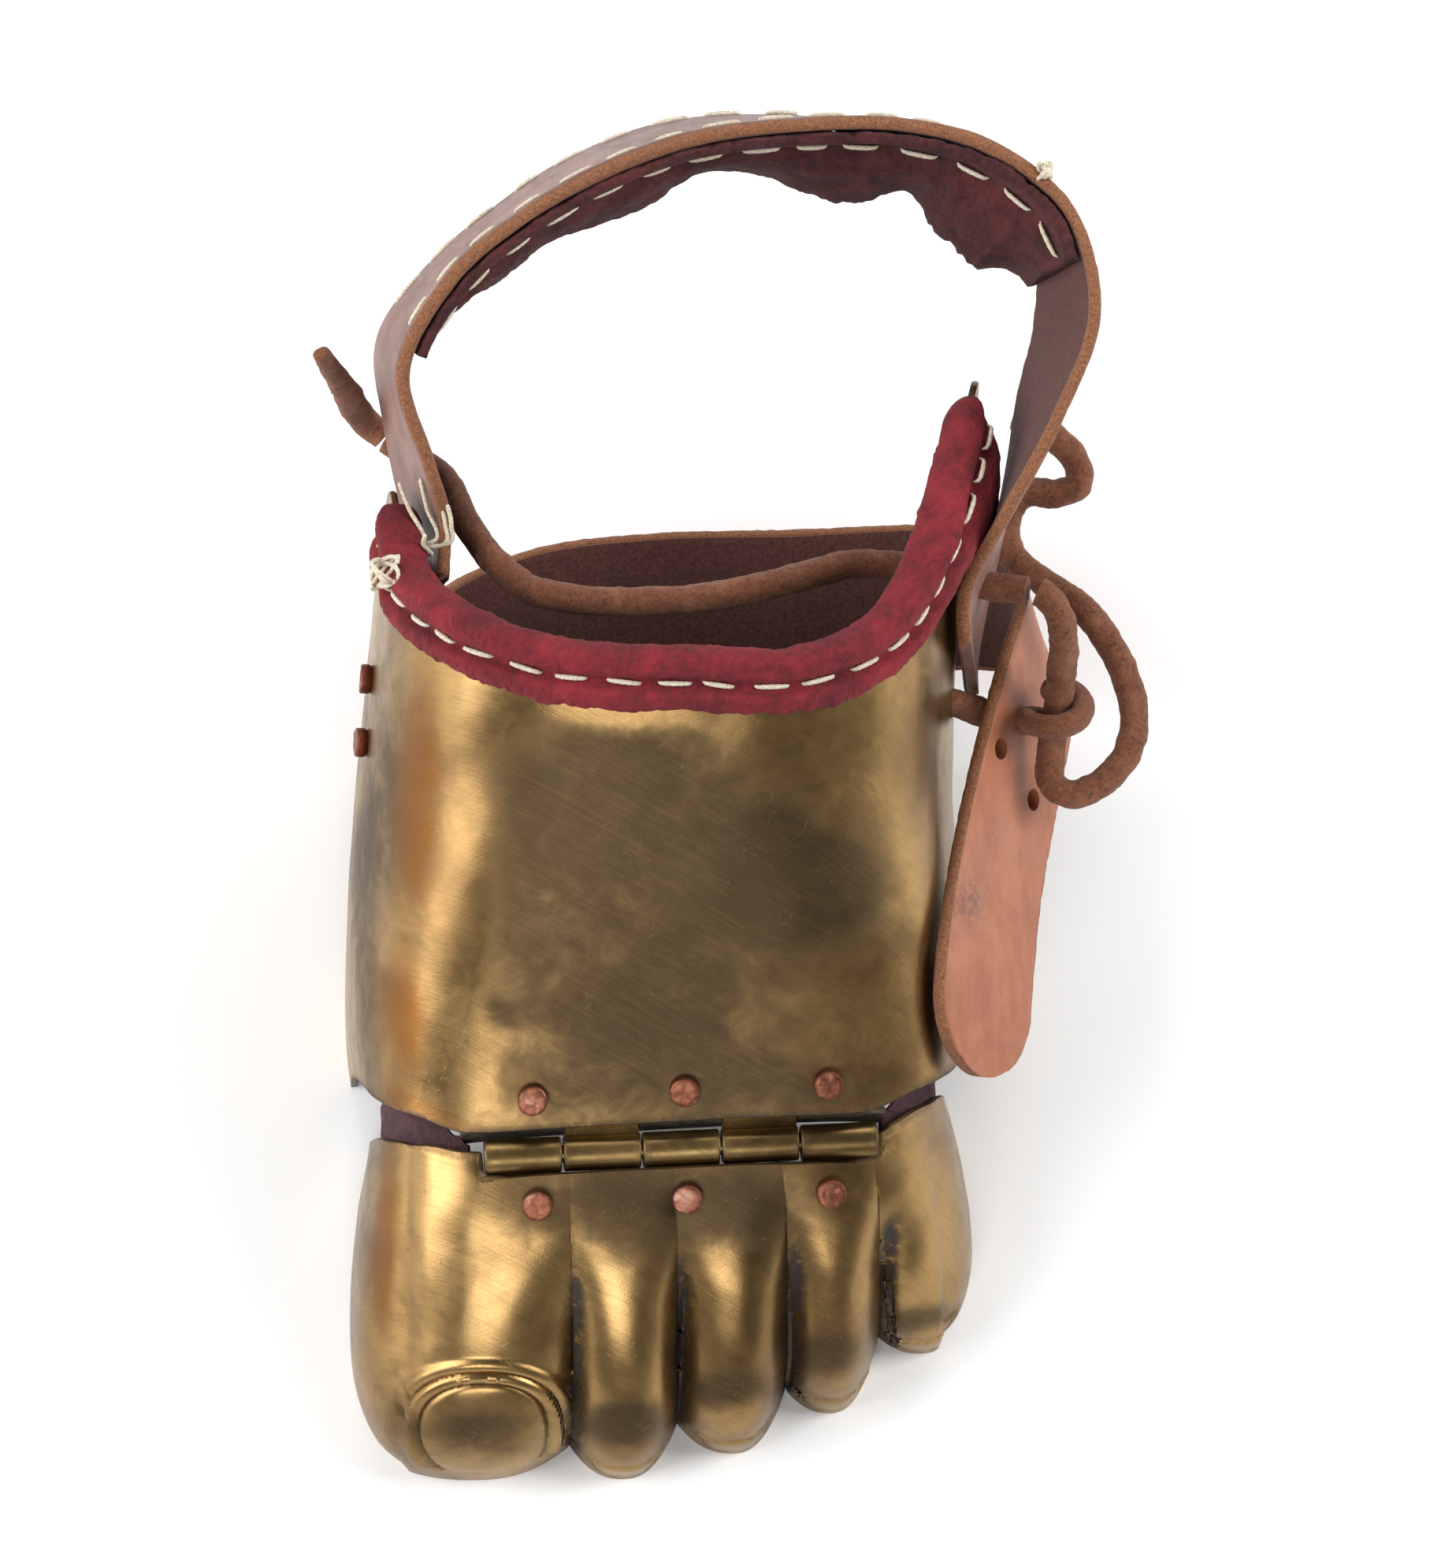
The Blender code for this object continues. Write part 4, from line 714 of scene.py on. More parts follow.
def brass(name, bright, deep, polish):
    """Old brass sheet: brushed gold, smoky stains with painted dark reflections over them, heat colours, dusty
    specks, fine scratches and grooves darkened by grime and painted shade.
    """
    s = Shader(name)
    cloud = s.noise(38.0, 5.0, 0.6, 0.4)
    wisps = s.noise(150.0, 5.0, 0.6, 1.2)
    ragged = s.plus(s.times(cloud, 0.75), s.times(wisps, 0.35))
    smoke_and_painted_reflection = s.band(s.plus(s.mask("smoke_and_painted_reflection"), s.math("SUBTRACT", ragged, 0.55)), 0.02, 0.86)
    burnt = s.band(s.plus(s.mask("burnt"), s.times(s.math("SUBTRACT", ragged, 0.55), 0.8)), 0.1, 0.9)
    toned = s.mix(s.band(cloud, 0.35, 0.65), bright, deep)
    # Smoky stains and the painted dark reflections darken the metal to this colour.
    colour = s.mix(smoke_and_painted_reflection, toned, (0.082, 0.054, 0.028))
    colour = s.mix(s.times(burnt, 0.8), colour, (0.20, 0.075, 0.016))
    brushed = s.noise(1.0, 3.0, 0.6, 0.0, s.stretched((70.0, 2200.0, 300.0), (0.0, 0.0, 0.45)))
    colour = s.mix(s.band(brushed, 0.42, 0.75, 0.0, 0.30), colour, (0.16, 0.10, 0.045))
    scratches = []
    for scale, turn in (((45.0, 3800.0, 900.0), 0.7), ((3600.0, 60.0, 900.0), 0.35),
                        ((50.0, 3000.0, 900.0), -0.55)):
        line = s.noise(1.0, 1.0, 0.4, 0.0, s.stretched(scale, (0.0, 0.0, turn)))
        scratches.append(s.band(line, 0.70, 0.78))
    scratch = s.math("MAXIMUM", s.math("MAXIMUM", scratches[0], scratches[1]), scratches[2])
    scratch = s.times(scratch, s.band(s.noise(90.0, 2.0), 0.45, 0.7))
    colour = s.mix(s.times(scratch, 0.22), colour, (0.42, 0.29, 0.14))
    specks = s.times(s.band(s.noise(1500.0, 2.0, 0.6), 0.70, 0.76), s.band(smoke_and_painted_reflection, 0.3, 0.9))
    colour = s.mix(s.times(specks, 0.5), colour, (0.36, 0.29, 0.18))
    pits = s.band(s.noise(900.0, 3.0, 0.7), 0.32, 0.24)
    colour = s.mix(s.times(pits, 0.6), colour, (0.05, 0.032, 0.018))
    # Darkening in the toe grooves, nail folds, hinge gaps and along the plate edges at the hinge: partly grime,
    # partly painted shade.
    dirt_and_painted_shade = s.mask("dirt_and_painted_shade")
    dirt_and_shade = s.times(dirt_and_painted_shade, s.band(s.noise(420.0, 5.0, 0.7), 0.25, 0.55), clamp=True)
    colour = s.mix(s.band(dirt_and_shade, 0.05, 0.75), colour, (0.040, 0.030, 0.023))
    inside = s.band(s.mask("inside"), 0.55, 0.8)
    colour = s.mix(inside, colour, s.mix(s.band(wisps, 0.3, 0.7), (0.13, 0.10, 0.065), (0.07, 0.052, 0.036)))
    rough = s.plus(s.band(smoke_and_painted_reflection, 0.0, 1.0, polish, polish + 0.17), s.band(wisps, 0.3, 0.7, 0.0, 0.07))
    rough = s.plus(rough, s.times(s.plus(specks, dirt_and_shade), 0.3))
    rough = s.plus(rough, s.times(inside, 0.15), clamp=True)
    metallic = s.band(dirt_and_shade, 0.2, 1.0, 1.0, 0.25)
    normal = s.bump((s.noise(55.0, 2.0, 0.4), 1.2 * MM, 0.35),
                    (brushed, 0.03 * MM, 0.5), (scratch, 0.04 * MM, 0.3),
                    (s.noise(2600.0, 2.0), 0.04 * MM, 0.35), (dirt_and_shade, 0.25 * MM, 0.6))
    return s.finish(colour, rough, metallic, normal)


def copper():
    s = Shader("copper")
    rim = s.mask("rim")
    grain = s.noise(700.0, 4.0, 0.65)
    colour = s.mix(s.band(grain, 0.3, 0.7), (0.27, 0.105, 0.064), (0.14, 0.048, 0.028))
    colour = s.mix(s.band(s.noise(240.0, 3.0), 0.52, 0.68, 0.0, 0.7), colour, (0.46, 0.25, 0.18))
    colour = s.mix(s.band(rim, 0.2, 0.9), colour, (0.13, 0.035, 0.018))
    rough = s.band(rim, 0.0, 1.0, 0.42, 0.65)
    normal = s.bump((s.noise(420.0, 3.0), 0.25 * MM, 0.5), (grain, 0.05 * MM, 0.5))
    return s.finish(colour, rough, 1.0, normal)


def strap_leather(name, tan, dark_tan, dust_and_sheen):
    """Vegetable tanned leather: tan grain side, rough dark flesh side and fibrous cut edges."""
    s = Shader(name)
    blotch = s.noise(60.0, 5.0, 0.6, 0.5)
    streaks = s.noise(1.0, 4.0, 0.6, 0.3, s.stretched((420.0, 110.0, 110.0)))
    tone = s.plus(s.times(blotch, 0.6), s.times(streaks, 0.4))
    grain = s.mix(s.band(tone, 0.36, 0.66), tan, dark_tan)
    # Pale patches: dust, and on the ankle strap also a painted greyish sheen.
    grain = s.mix(s.band(s.noise(28.0, 2.0), 0.58, 0.75, 0.0, 0.35), grain, dust_and_sheen)
    pores = s.band(s.cells(1300.0, "F1"), 0.30, 0.08)
    grain = s.mix(s.times(pores, s.band(blotch, 0.4, 0.7, 0.15, 0.55)), grain, (0.16, 0.05, 0.025))
    drawn_out = s.stretched((60.0, 1500.0, 300.0), (0.2, 0.1, 0.5))
    scuffs = s.band(s.noise(1.0, 2.0, 0.5, 0.0, drawn_out), 0.70, 0.80)
    grain = s.mix(s.times(scuffs, 0.35), grain, (0.66, 0.38, 0.27))
    stain = s.mask("stain")
    ring = s.times(stain, s.band(s.noise(800.0, 3.0, 0.7), 0.35, 0.62), clamp=True)
    grain = s.mix(s.times(ring, 0.8), grain, (0.12, 0.045, 0.025))
    fibres = s.noise(1400.0, 4.0, 0.7)
    flesh = s.mix(s.band(fibres, 0.3, 0.7), (0.048, 0.014, 0.011), (0.11, 0.036, 0.024))
    cut = s.mix(s.band(s.noise(2200.0, 4.0, 0.7), 0.30, 0.72), (0.13, 0.046, 0.019), (0.30, 0.125, 0.055))
    on_flesh = s.band(s.mask("flesh"), 0.55, 0.95)
    on_edge = s.band(s.mask("edge"), 0.25, 0.75)
    colour = s.mix(on_edge, s.mix(on_flesh, grain, flesh), cut)
    rough = s.math("MAXIMUM", s.band(tone, 0.3, 0.7, 0.46, 0.60), s.math("MAXIMUM", on_flesh, on_edge))
    rough = s.math("MINIMUM", rough, 0.93)
    fuzz = s.times(fibres, s.math("MAXIMUM", on_flesh, on_edge))
    smooth = s.math("SUBTRACT", 1.0, s.math("MAXIMUM", on_flesh, on_edge))
    pebbles = s.times(s.cells(1300.0), smooth)
    normal = s.bump((blotch, 0.6 * MM, 0.25), (pebbles, 0.10 * MM, 0.30), (fuzz, 0.35 * MM, 0.8),
                    (ring, 0.3 * MM, 0.5))
    return s.finish(colour, rough, 0.0, normal, sheen_weight=0.06, sheen_roughness=0.5)


def suede(name, light, dark, nap, sheen):
    """Napped suede: patches where the nap lies another way, over a fine fibre."""
    s = Shader(name)
    patch = s.noise(95.0, 4.0, 0.6, 0.8)
    fibre = s.noise(1.0, 4.0, 0.7, 0.6, s.stretched((nap, nap * 0.55, nap * 0.8), (0.3, 0.2, 0.6)))
    fluff = s.noise(nap * 0.35, 4.0, 0.7, 1.0)
    tone = s.plus(s.times(patch, 0.45), s.times(fibre, 0.35))
    tone = s.plus(tone, s.times(fluff, 0.25))
    colour = s.mix(s.band(tone, 0.36, 0.70), dark, light)
    normal = s.bump((patch, 0.8 * MM, 0.4), (fluff, 0.7 * MM, 0.7), (fibre, 0.45 * MM, 0.9))
    return s.finish(colour, 0.95, 0.0, normal, sheen_weight=sheen, sheen_roughness=0.45, sheen_tint=light)


def lace_leather():
    """Rough brown thong: flesh side out, with a paler nap and dark furrows."""
    s = Shader("lace_leather")
    fibre = s.noise(1500.0, 5.0, 0.75, 0.6)
    tone = s.noise(190.0, 5.0, 0.65, 0.5)
    colour = s.mix(s.band(fibre, 0.3, 0.72), (0.085, 0.024, 0.009), (0.27, 0.088, 0.032))
    colour = s.mix(s.band(tone, 0.45, 0.75, 0.0, 0.6), colour, (0.30, 0.125, 0.055))
    furrows = s.band(s.noise(420.0, 4.0, 0.7, 1.5), 0.42, 0.30)
    colour = s.mix(s.times(furrows, 0.7), colour, (0.03, 0.010, 0.005))
    normal = s.bump((tone, 0.6 * MM, 0.5), (fibre, 0.45 * MM, 0.9))
    return s.finish(colour, 0.88, 0.0, normal, sheen_weight=0.12, sheen_roughness=0.5)


def thread_cotton():
    s = Shader("thread")
    fibre = s.noise(2600.0, 4.0, 0.7)
    colour = s.mix(s.band(fibre, 0.3, 0.7), (0.42, 0.35, 0.25), (0.78, 0.71, 0.58))
    colour = s.mix(s.band(s.noise(300.0, 2.0), 0.55, 0.8, 0.0, 0.5), colour, (0.36, 0.26, 0.18))
    return s.finish(colour, 0.85, 0.0, s.bump((fibre, 0.12 * MM, 0.8)), sheen_weight=0.1)


def spread(low, high, count):
    return [low + (high - low) * i / (count - 1) for i in range(count)]


def grid_of(rows):
    return np.array([[tuple(point) for point in row] for row in rows])


def tubes(name, parts, masks=None, sharp=60.0, closed=False):
    """One object from lofts, each an array of sections. closed joins the last section to the first."""
    points, faces, first = [], [], 0
    for sections in parts:
        rows, columns = sections.shape[:2]
        for i in range(rows if closed else rows - 1):
            low, high = first + i * columns, first + (i + 1) % rows * columns
            for j in range(columns):
                k = (j + 1) % columns
                faces.append((low + j, low + k, high + k, high + j))
        if not closed:
            last = first + (rows - 1) * columns
            faces.append(tuple(range(first, first + columns))[::-1])
            faces.append(tuple(range(last, last + columns)))
        points.append(sections.reshape(-1, 3))
        first += rows * columns
    return make_mesh(name, np.concatenate(points), faces, masks, sharp)


def instep_skin(shader):
    arounds = spread(0.0, 1.0, 230)
    edges = [instep_edges(around) for around in arounds]
    rows = []
    for along in spread(0.0, 1.0, 84):
        rows.append([arch_point(around, front + (rear - front) * along)
                     for around, (front, rear) in zip(arounds, edges)])
    grid = grid_of(rows)
    outward = grid * np.array((1.0, 0.0, 1.0)) + np.array((0.0, 0.0, 1.0)) * MM
    normal = normals_of(grid, outward)
    dents = rumpled(grid, 17 * MM, 0.28 * MM, 3.0) + rumpled(grid, 7 * MM, 0.07 * MM, 8.0)
    fade = np.clip(grid[..., 2:3] / (8 * MM), 0.0, 1.0)
    grid = grid + normal * dents[..., None] * fade
    px, py = seen_at(grid)
    # Painted shade along the instep plate's front edge, where it overhangs the hinge.
    painted_shade_lip = np.exp(-np.linspace(0.0, 1.0, grid.shape[0])[:, None] / 0.012) * np.ones_like(px)
    masks = {"smoke_and_painted_reflection": stains(SMOKE_AND_PAINTED_REFLECTIONS, px, py), "burnt": stains(BURNT, px, py), "dirt_and_painted_shade": painted_shade_lip * 0.55}
    obj = shell("instep_plate_skin", grid, normals_of(grid, outward), PLATE_WALL, masks)
    return settle(obj, shader, "instep", ("instep_plate",))


def nail_relief(r, above):
    """Height of a nail and the folds round it, where r is 1 at its edge and above fades the folds."""
    plate = 0.35 * MM * (1.0 - np.clip(r, 0.0, 1.0) ** 6)
    dip = -0.50 * MM * np.exp(-((r - 1.04) / 0.06) ** 2)
    inner_fold = 0.75 * MM * np.exp(-((r - 1.17) / 0.085) ** 2)
    valley = -0.25 * MM * np.exp(-((r - 1.30) / 0.06) ** 2)
    outer_fold = 0.70 * MM * np.exp(-((r - 1.44) / 0.10) ** 2)
    return plate + dip + inner_fold + (valley + outer_fold) * above


def oval(u, v):
    return (np.abs(u) ** NAIL_ROUNDNESS + np.abs(v) ** NAIL_ROUNDNESS) ** (1 / NAIL_ROUNDNESS)


def toe_grid():
    """Points of the toe plate from its rear edge to the floor, and how far forward each row lies."""
    low, high = TOE_MEDIAL_SIDE[-1][0], TOE_LATERAL_SIDE[0][0]
    first, last = toe_rear_point(low).x, toe_rear_point(high).x
    middle = [around_at(x, HINGE_BEHIND_TOES) for x in spread(first, last, 300)]
    arounds = spread(0.0, low, 26)[:-1] + middle + spread(high, 1.0, 26)[1:]
    columns = [(toe_rear_point(around), toe_floor_point(around, toe_floor_x(around))) for around in arounds]
    edges = [toe_edge_point(around) for around in arounds]
    forwards = spread(0.0, 1.0, 124)
    rows = [[rear.lerp(edge, share) for (rear, _floor), edge in zip(columns, edges)]
            for share in spread(1.0, 0.2, EDGE_ROWS)]
    rows += [[toe_point(rear, floor, forward) for rear, floor in columns] for forward in forwards]
    advance = np.sin(np.array([0.0] * EDGE_ROWS + forwards) * math.pi / 2)[:, None] ** (2.0 / TOE_NOSE)
    return grid_of(rows), advance


def smoothed_across(grid, advance):
    """Rounds the creases between the toes' crests, most of all near the hinge."""
    reach = SMOOTHED_COLUMNS
    weights = np.exp(-(np.arange(-reach, reach + 1) / 10.0) ** 2)
    height = grid[..., 2]
    padded = np.concatenate([height[:, :1].repeat(reach, 1), height, height[:, -1:].repeat(reach, 1)], 1)
    soft = sum(weight * padded[:, k:k + grid.shape[1]] for k, weight in enumerate(weights)) / weights.sum()
    kept = np.clip((advance - 0.52) / 0.36, 0.0, 0.6)
    grid[..., 2] = height * kept + soft * (1.0 - kept)


def toe_details(x, z, px, py, advance):
    """Relief of the nails and grooves, and how much they are darkened, by grime and by painted shade."""
    u, v = (px - NAIL_MIDDLE[0]) / NAIL_HALF[0], (py - NAIL_MIDDLE[1]) / NAIL_HALF[1]
    r = oval(u, v)
    above_rim = z > 6 * MM
    relief = nail_relief(r, 1.0 / (1.0 + np.exp((v - 0.1) * 7.0))) * above_rim
    # Dark line in the fold round the big toe's nail: grime and painted shade.
    dirt_and_shade = 0.45 * np.exp(-((r - 1.04) / 0.07) ** 2) * above_rim
    front = np.clip((advance - 0.80) / 0.08, 0.0, 1.0)
    for middle, half_width, _tip, _notch in TOES[1:]:
        r = oval((x / HALF_WIDTH - middle) / (half_width * 0.55), (z - SMALL_NAIL_HEIGHT) / SMALL_NAIL_HALF)
        relief += nail_relief(r, 0.0) * front * 0.5
        dirt_and_shade += 0.45 * np.exp(-((r - 1.04) / 0.08) ** 2) * front
    depth = np.clip((advance - 0.22) / 0.3, 0.0, 1.0)
    depth = depth * depth * (3.0 - 2.0 * depth)
    # The grooves between the toes are darkened as painted shade, with some grime.
    for middle, half_width, _tip, _notch in TOES[:-1]:
        away = (x / HALF_WIDTH - middle - half_width) * HALF_WIDTH
        relief -= 0.35 * MM * np.exp(-(away / (1.6 * MM)) ** 2) * depth * np.clip(z / (5 * MM), 0.0, 1.0)
        dirt_and_shade += 0.85 * np.exp(-(away / (2.1 * MM)) ** 2) * depth
    return relief, dirt_and_shade


def toe_skin(shader):
    grid, advance = toe_grid()
    smoothed_across(grid, advance)
    outward = grid - np.array((0.0, 45.0, 0.0)) * MM
    outward[..., 2] = grid[..., 2] + 8 * MM
    normal = normals_of(grid, outward)
    z = grid[..., 2]
    px, py = seen_at(grid)
    relief, dirt_and_shade = toe_details(grid[..., 0], z, px, py, advance)
    # Painted shade along the toe plate's rear edge, beside the hinge.
    dirt_and_shade[:2] += 0.35
    dents = rumpled(grid, 13 * MM, 0.38 * MM, 5.0) + rumpled(grid, 6 * MM, 0.10 * MM, 2.0)
    fade = np.clip(z / (6 * MM), 0.0, 1.0)
    grid = grid + normal * ((dents + relief) * fade)[..., None]
    masks = {"smoke_and_painted_reflection": stains(SMOKE_AND_PAINTED_REFLECTIONS, px, py), "burnt": stains(BURNT, px, py),
             "dirt_and_painted_shade": np.clip(dirt_and_shade, 0.0, 1.0)}
    obj = shell("toe_plate_skin", grid, normals_of(grid, outward), PLATE_WALL, masks)
    return settle(obj, shader, "toe", ("toe_plate",))


def joined(objects, name):
    with bpy.context.temp_override(active_object=objects[0], selected_editable_objects=objects):
        bpy.ops.object.join()
    objects[0].name = name
    objects[0].data.name = name
    return objects[0]


def barrel(start, end, along, back):
    """Rolled barrel of one knuckle, with its bore and small chamfers."""
    chamfer = 0.3 * MM
    length = (end - start).length
    bore = PIN_RADIUS + FIT
    ring = [(0.0, bore), (0.0, BARREL_RADIUS - chamfer), (chamfer, BARREL_RADIUS)]
    ring += [(place, BARREL_RADIUS) for place in spread(chamfer, length - chamfer, 12)[1:-1]]
    ring += [(length - chamfer, BARREL_RADIUS), (length, BARREL_RADIUS - chamfer), (length, bore)]
    sections = []
    for k in range(56):
        turn = 2 * math.pi * k / 56
        direction = back * math.cos(turn) + UP * math.sin(turn)
        sections.append([tuple(start + along * place + direction * radius) for place, radius in ring])
    sections = np.array(sections)
    flat = sections.reshape(-1, 3)
    flat += (flat - np.array(start)) * rumple(flat, 5 * MM, 0.012)[:, None]
    count = len(ring)
    # Painted shade at the ends of the knuckle, in the gaps between knuckles.
    masks = {"dirt_and_painted_shade": np.tile([0.6, 0.6, 0.3] + [0.0] * (count - 6) + [0.3, 0.6, 0.6], 56)}
    return tubes("barrel", [sections], masks, sharp=40.0, closed=True)


def leaf_skin(name, height, side, first, body, slack, shader):
    """One hinge leaf: its barrels, and the sheet that runs from them under the plate."""
    centre, along, back = hinge_frame()
    near = BARREL_RADIUS + KNUCKLE_GAP + LEAF_THICKNESS / 2
    under = PLATE_WALL / 2 + FIT + LEAF_THICKNESS / 2 + slack
    pitch = HINGE_LENGTH / KNUCKLES
    pieces = []

    def sheet_row(distance, stations):
        row = []
        for station in stations:
            spot = centre + along * station + back * side * distance
            point, normal = plate_spot(height, spot.x, spot.y)
            row.append(point - normal * under)
        return row

    # Leaf sheets are darkened a little as painted shade, under the plate and between the knuckles.
    def sheet(rows, dirt_and_shade=0.2):
        grid = grid_of(rows)
        normal = normals_of(grid, np.zeros_like(grid) + np.array((0.0, 0.0, 1.0)))
        return shell("sheet", grid, normal, LEAF_THICKNESS, {"dirt_and_painted_shade": np.full(grid.shape[:2], dirt_and_shade)})

    whole = spread(-HINGE_LENGTH / 2 + KNUCKLE_GAP, HINGE_LENGTH / 2 - KNUCKLE_GAP, 40)
    pieces.append(sheet([sheet_row(distance, whole) for distance in spread(near, LEAF_DEPTH, 12)]))
    if body == "instep":
        # A dark sheet hanging from the leaf's edge under the instep plate stands in for the shade in the gap
        # beside the toe knuckles.
        edge = sheet_row(near, spread(-HINGE_LENGTH / 2 - 4 * MM, HINGE_LENGTH / 2 + 2 * MM, 40))
        painted_shade_lip = [[point - UP * drop * MM for point in edge] for drop in SHADE_LIP_DROPS]
        pieces.append(sheet(painted_shade_lip, 1.0))
    for k in range(first, KNUCKLES, 2):
        low = -HINGE_LENGTH / 2 + pitch * k + KNUCKLE_GAP / 2
        high = low + pitch - KNUCKLE_GAP
        pieces.append(barrel(centre + along * low, centre + along * high, along, back))
        stations = spread(low + FIT, high - FIT, 8)
        inner = [centre + along * station + back * side * (PIN_RADIUS + 2 * FIT) for station in stations]
        outer = sheet_row(near, stations)
        pieces.append(sheet([inner, [a.lerp(b, 0.5) for a, b in zip(inner, outer)], outer]))
    obj = joined(pieces, name + "_skin")
    return settle(obj, shader, body, (name,))


def rivet_skin(name, point, normal, depth, body, shader, seed):
    """Copper rivet: a hammered flat head with a dark rim, its shank, and its tail on the inside."""
    top = PLATE_WALL / 2 + FIT
    face = top + RIVET_HEAD_HEIGHT
    bottom = -(PLATE_WALL / 2 + depth + FIT)
    radius = RIVET_HEAD_RADIUS
    profile = ((0.30 * radius, face, 0.0), (0.62 * radius, face, 0.0), (radius - 0.45 * MM, face, 0.12),
               (radius - 0.15 * MM, face - 0.10 * MM, 0.35), (radius, face - 0.32 * MM, 0.5),
               (radius * 1.01, face - 0.9 * MM, 0.55), (radius, top + 0.1 * MM, 1.0),
               (radius * 0.9, top - FIT, 1.0), (1.3 * MM, top - FIT, 1.0), (1.3 * MM, bottom, 1.0),
               (RIVET_TAIL_RADIUS, bottom, 0.8),
               (RIVET_TAIL_RADIUS, bottom - 0.6 * RIVET_TAIL_HEIGHT, 0.5),
               (0.85 * RIVET_TAIL_RADIUS, bottom - RIVET_TAIL_HEIGHT, 0.3),
               (0.3 * RIVET_TAIL_RADIUS, bottom - RIVET_TAIL_HEIGHT, 0.1))
    turn = UP.rotation_difference(normal).to_matrix()
    sides = 40
    draw = random.Random(seed)
    lean = Vector((draw.uniform(-0.07, 0.07), draw.uniform(-0.07, 0.07), 0.0))
    sections, rims = [], []
    for ring, height, rim in profile:
        section = []
        for k in range(sides):
            angle = 2 * math.pi * k / sides
            wobble = 1.0 + 0.035 * noise.noise(Vector((math.cos(angle), math.sin(angle), seed)))
            spot = Vector((math.cos(angle) * ring * wobble, math.sin(angle) * ring * wobble, height))
            if height > top + 0.5 * MM:
                spot.z += lean.dot(spot) + 0.10 * MM * noise.noise(spot / (1.3 * MM) + Vector((seed, 0, 0)))
            section.append(tuple(point + turn @ spot))
        sections.append(section)
        rims += [rim] * sides
    obj = tubes(name + "_skin", [np.array(sections)], {"rim": np.array(rims)}, sharp=35.0)
    return settle(obj, shader, body, (name,))


def hinge_rivet_skins(shader):
    centre, along, back = hinge_frame()
    for body, height, side, slack in (("instep", instep_height, 1, 0.0),
                                      ("toe", toe_height, -1, TOE_LEAF_SLACK)):
        for number, share in enumerate(RIVET_ALONG, start=1):
            spot = centre + along * share * HINGE_LENGTH + back * side * RIVET_FROM_AXIS
            point, normal = plate_spot(height, spot.x, spot.y)
            depth = LEAF_THICKNESS + FIT + slack
            rivet_skin("rivet_%s_%d" % (body, number), point, normal, depth, body, shader, number + 3 * side)


def side_rivet_skins(shader):
    step = 0.01
    heel_depth = 2 * FIT + HEEL_BULGE + HEEL_STRAP_THICKNESS
    ankle_depth = 3 * FIT + TRIM_THICKNESS + ANKLE_INNER_BULGE + STRAP_THICKNESS
    places = ((HEEL_RIVETS[0], heel_depth), (HEEL_RIVETS[1], heel_depth), (ANKLE_RIVET, ankle_depth))
    for number, ((around, share), depth) in enumerate(places, start=1):
        y = share * GUARD_LENGTH
        rise = arch_point(around + step, y) - arch_point(around - step, y)
        back = arch_point(around, y + MM) - arch_point(around, y - MM)
        normal = back.cross(rise).normalized()
        if normal.x > 0:
            normal = -normal
        point = arch_point(around, y)
        rivet_skin("rivet_side_%d" % number, point, normal, depth, "instep", shader, number + 20)


def strap_ring(half_width, half_thick, count=24):
    """Section of a strap: (across, out, edge, flesh) of each point, with round edges."""
    turn = half_thick * 0.9
    flat = half_width - turn
    ring = [(across, half_thick, 0.0, 0.0) for across in spread(-flat, flat, count)]
    angles = [math.radians(a) for a in (62, 34, 10, -10, -34, -62)]
    ring += [(flat + turn * math.cos(a), half_thick * math.sin(a), 1.0, 0.0) for a in angles]
    ring += [(across, -half_thick, 0.0, 1.0) for across in spread(flat, -flat, count)]
    ring += [(-flat - turn * math.cos(a), half_thick * math.sin(a), 1.0, 0.0) for a in reversed(angles)]
    return ring


def strap_skin(name, stations, outward_of, width, thickness, narrowing, stain=()):
    """Leather strap with round fibrous edges. narrowing gives the share of the width at each station."""
    ring = strap_ring(width / 2, thickness / 2)
    sections, normals = [], []
    for index, (middle, across) in enumerate(stations):
        run = stations[min(index + 1, len(stations) - 1)][0] - stations[max(index - 1, 0)][0]
        unit = across.normalized()
        outward = outward_of(run, unit, middle).normalized()
        share = narrowing[index]
        sections.append([tuple(middle + unit * a * share + outward * o) for a, o, _edge, _flesh in ring])
        normals.append([tuple((unit * a / width + outward * o / thickness).normalized())
                        for a, o, _e, _f in ring])
    sections, normals = np.array(sections), np.array(normals)
    shape = sections.shape
    flat = sections.reshape(-1, 3)
    edge = np.tile([row[2] for row in ring], shape[0])
    flesh = np.tile([row[3] for row in ring], shape[0])
    lumps = rumple(flat, 24 * MM, 0.30 * MM, 1.0) * (1 - edge)
    fibres = rumple(flat, 1.3 * MM, 0.16 * MM, 6.0) * edge + rumple(flat, 2.2 * MM, 0.07 * MM, 9.0) * flesh
    flat = flat + normals.reshape(-1, 3) * (lumps + fibres)[:, None]
    flat[:, 2] = np.maximum(flat[:, 2], 0.0)
    px, py = seen_at(flat)
    masks = {"edge": edge, "flesh": flesh, "stain": stains(stain, px, py) if stain else np.zeros(len(flat))}
    return tubes(name, [flat.reshape(shape)], masks, sharp=80.0)


def path_lengths(points):
    lengths = [0.0]
    for before, after in zip(points, points[1:]):
        lengths.append(lengths[-1] + (after - before).length)
    return lengths


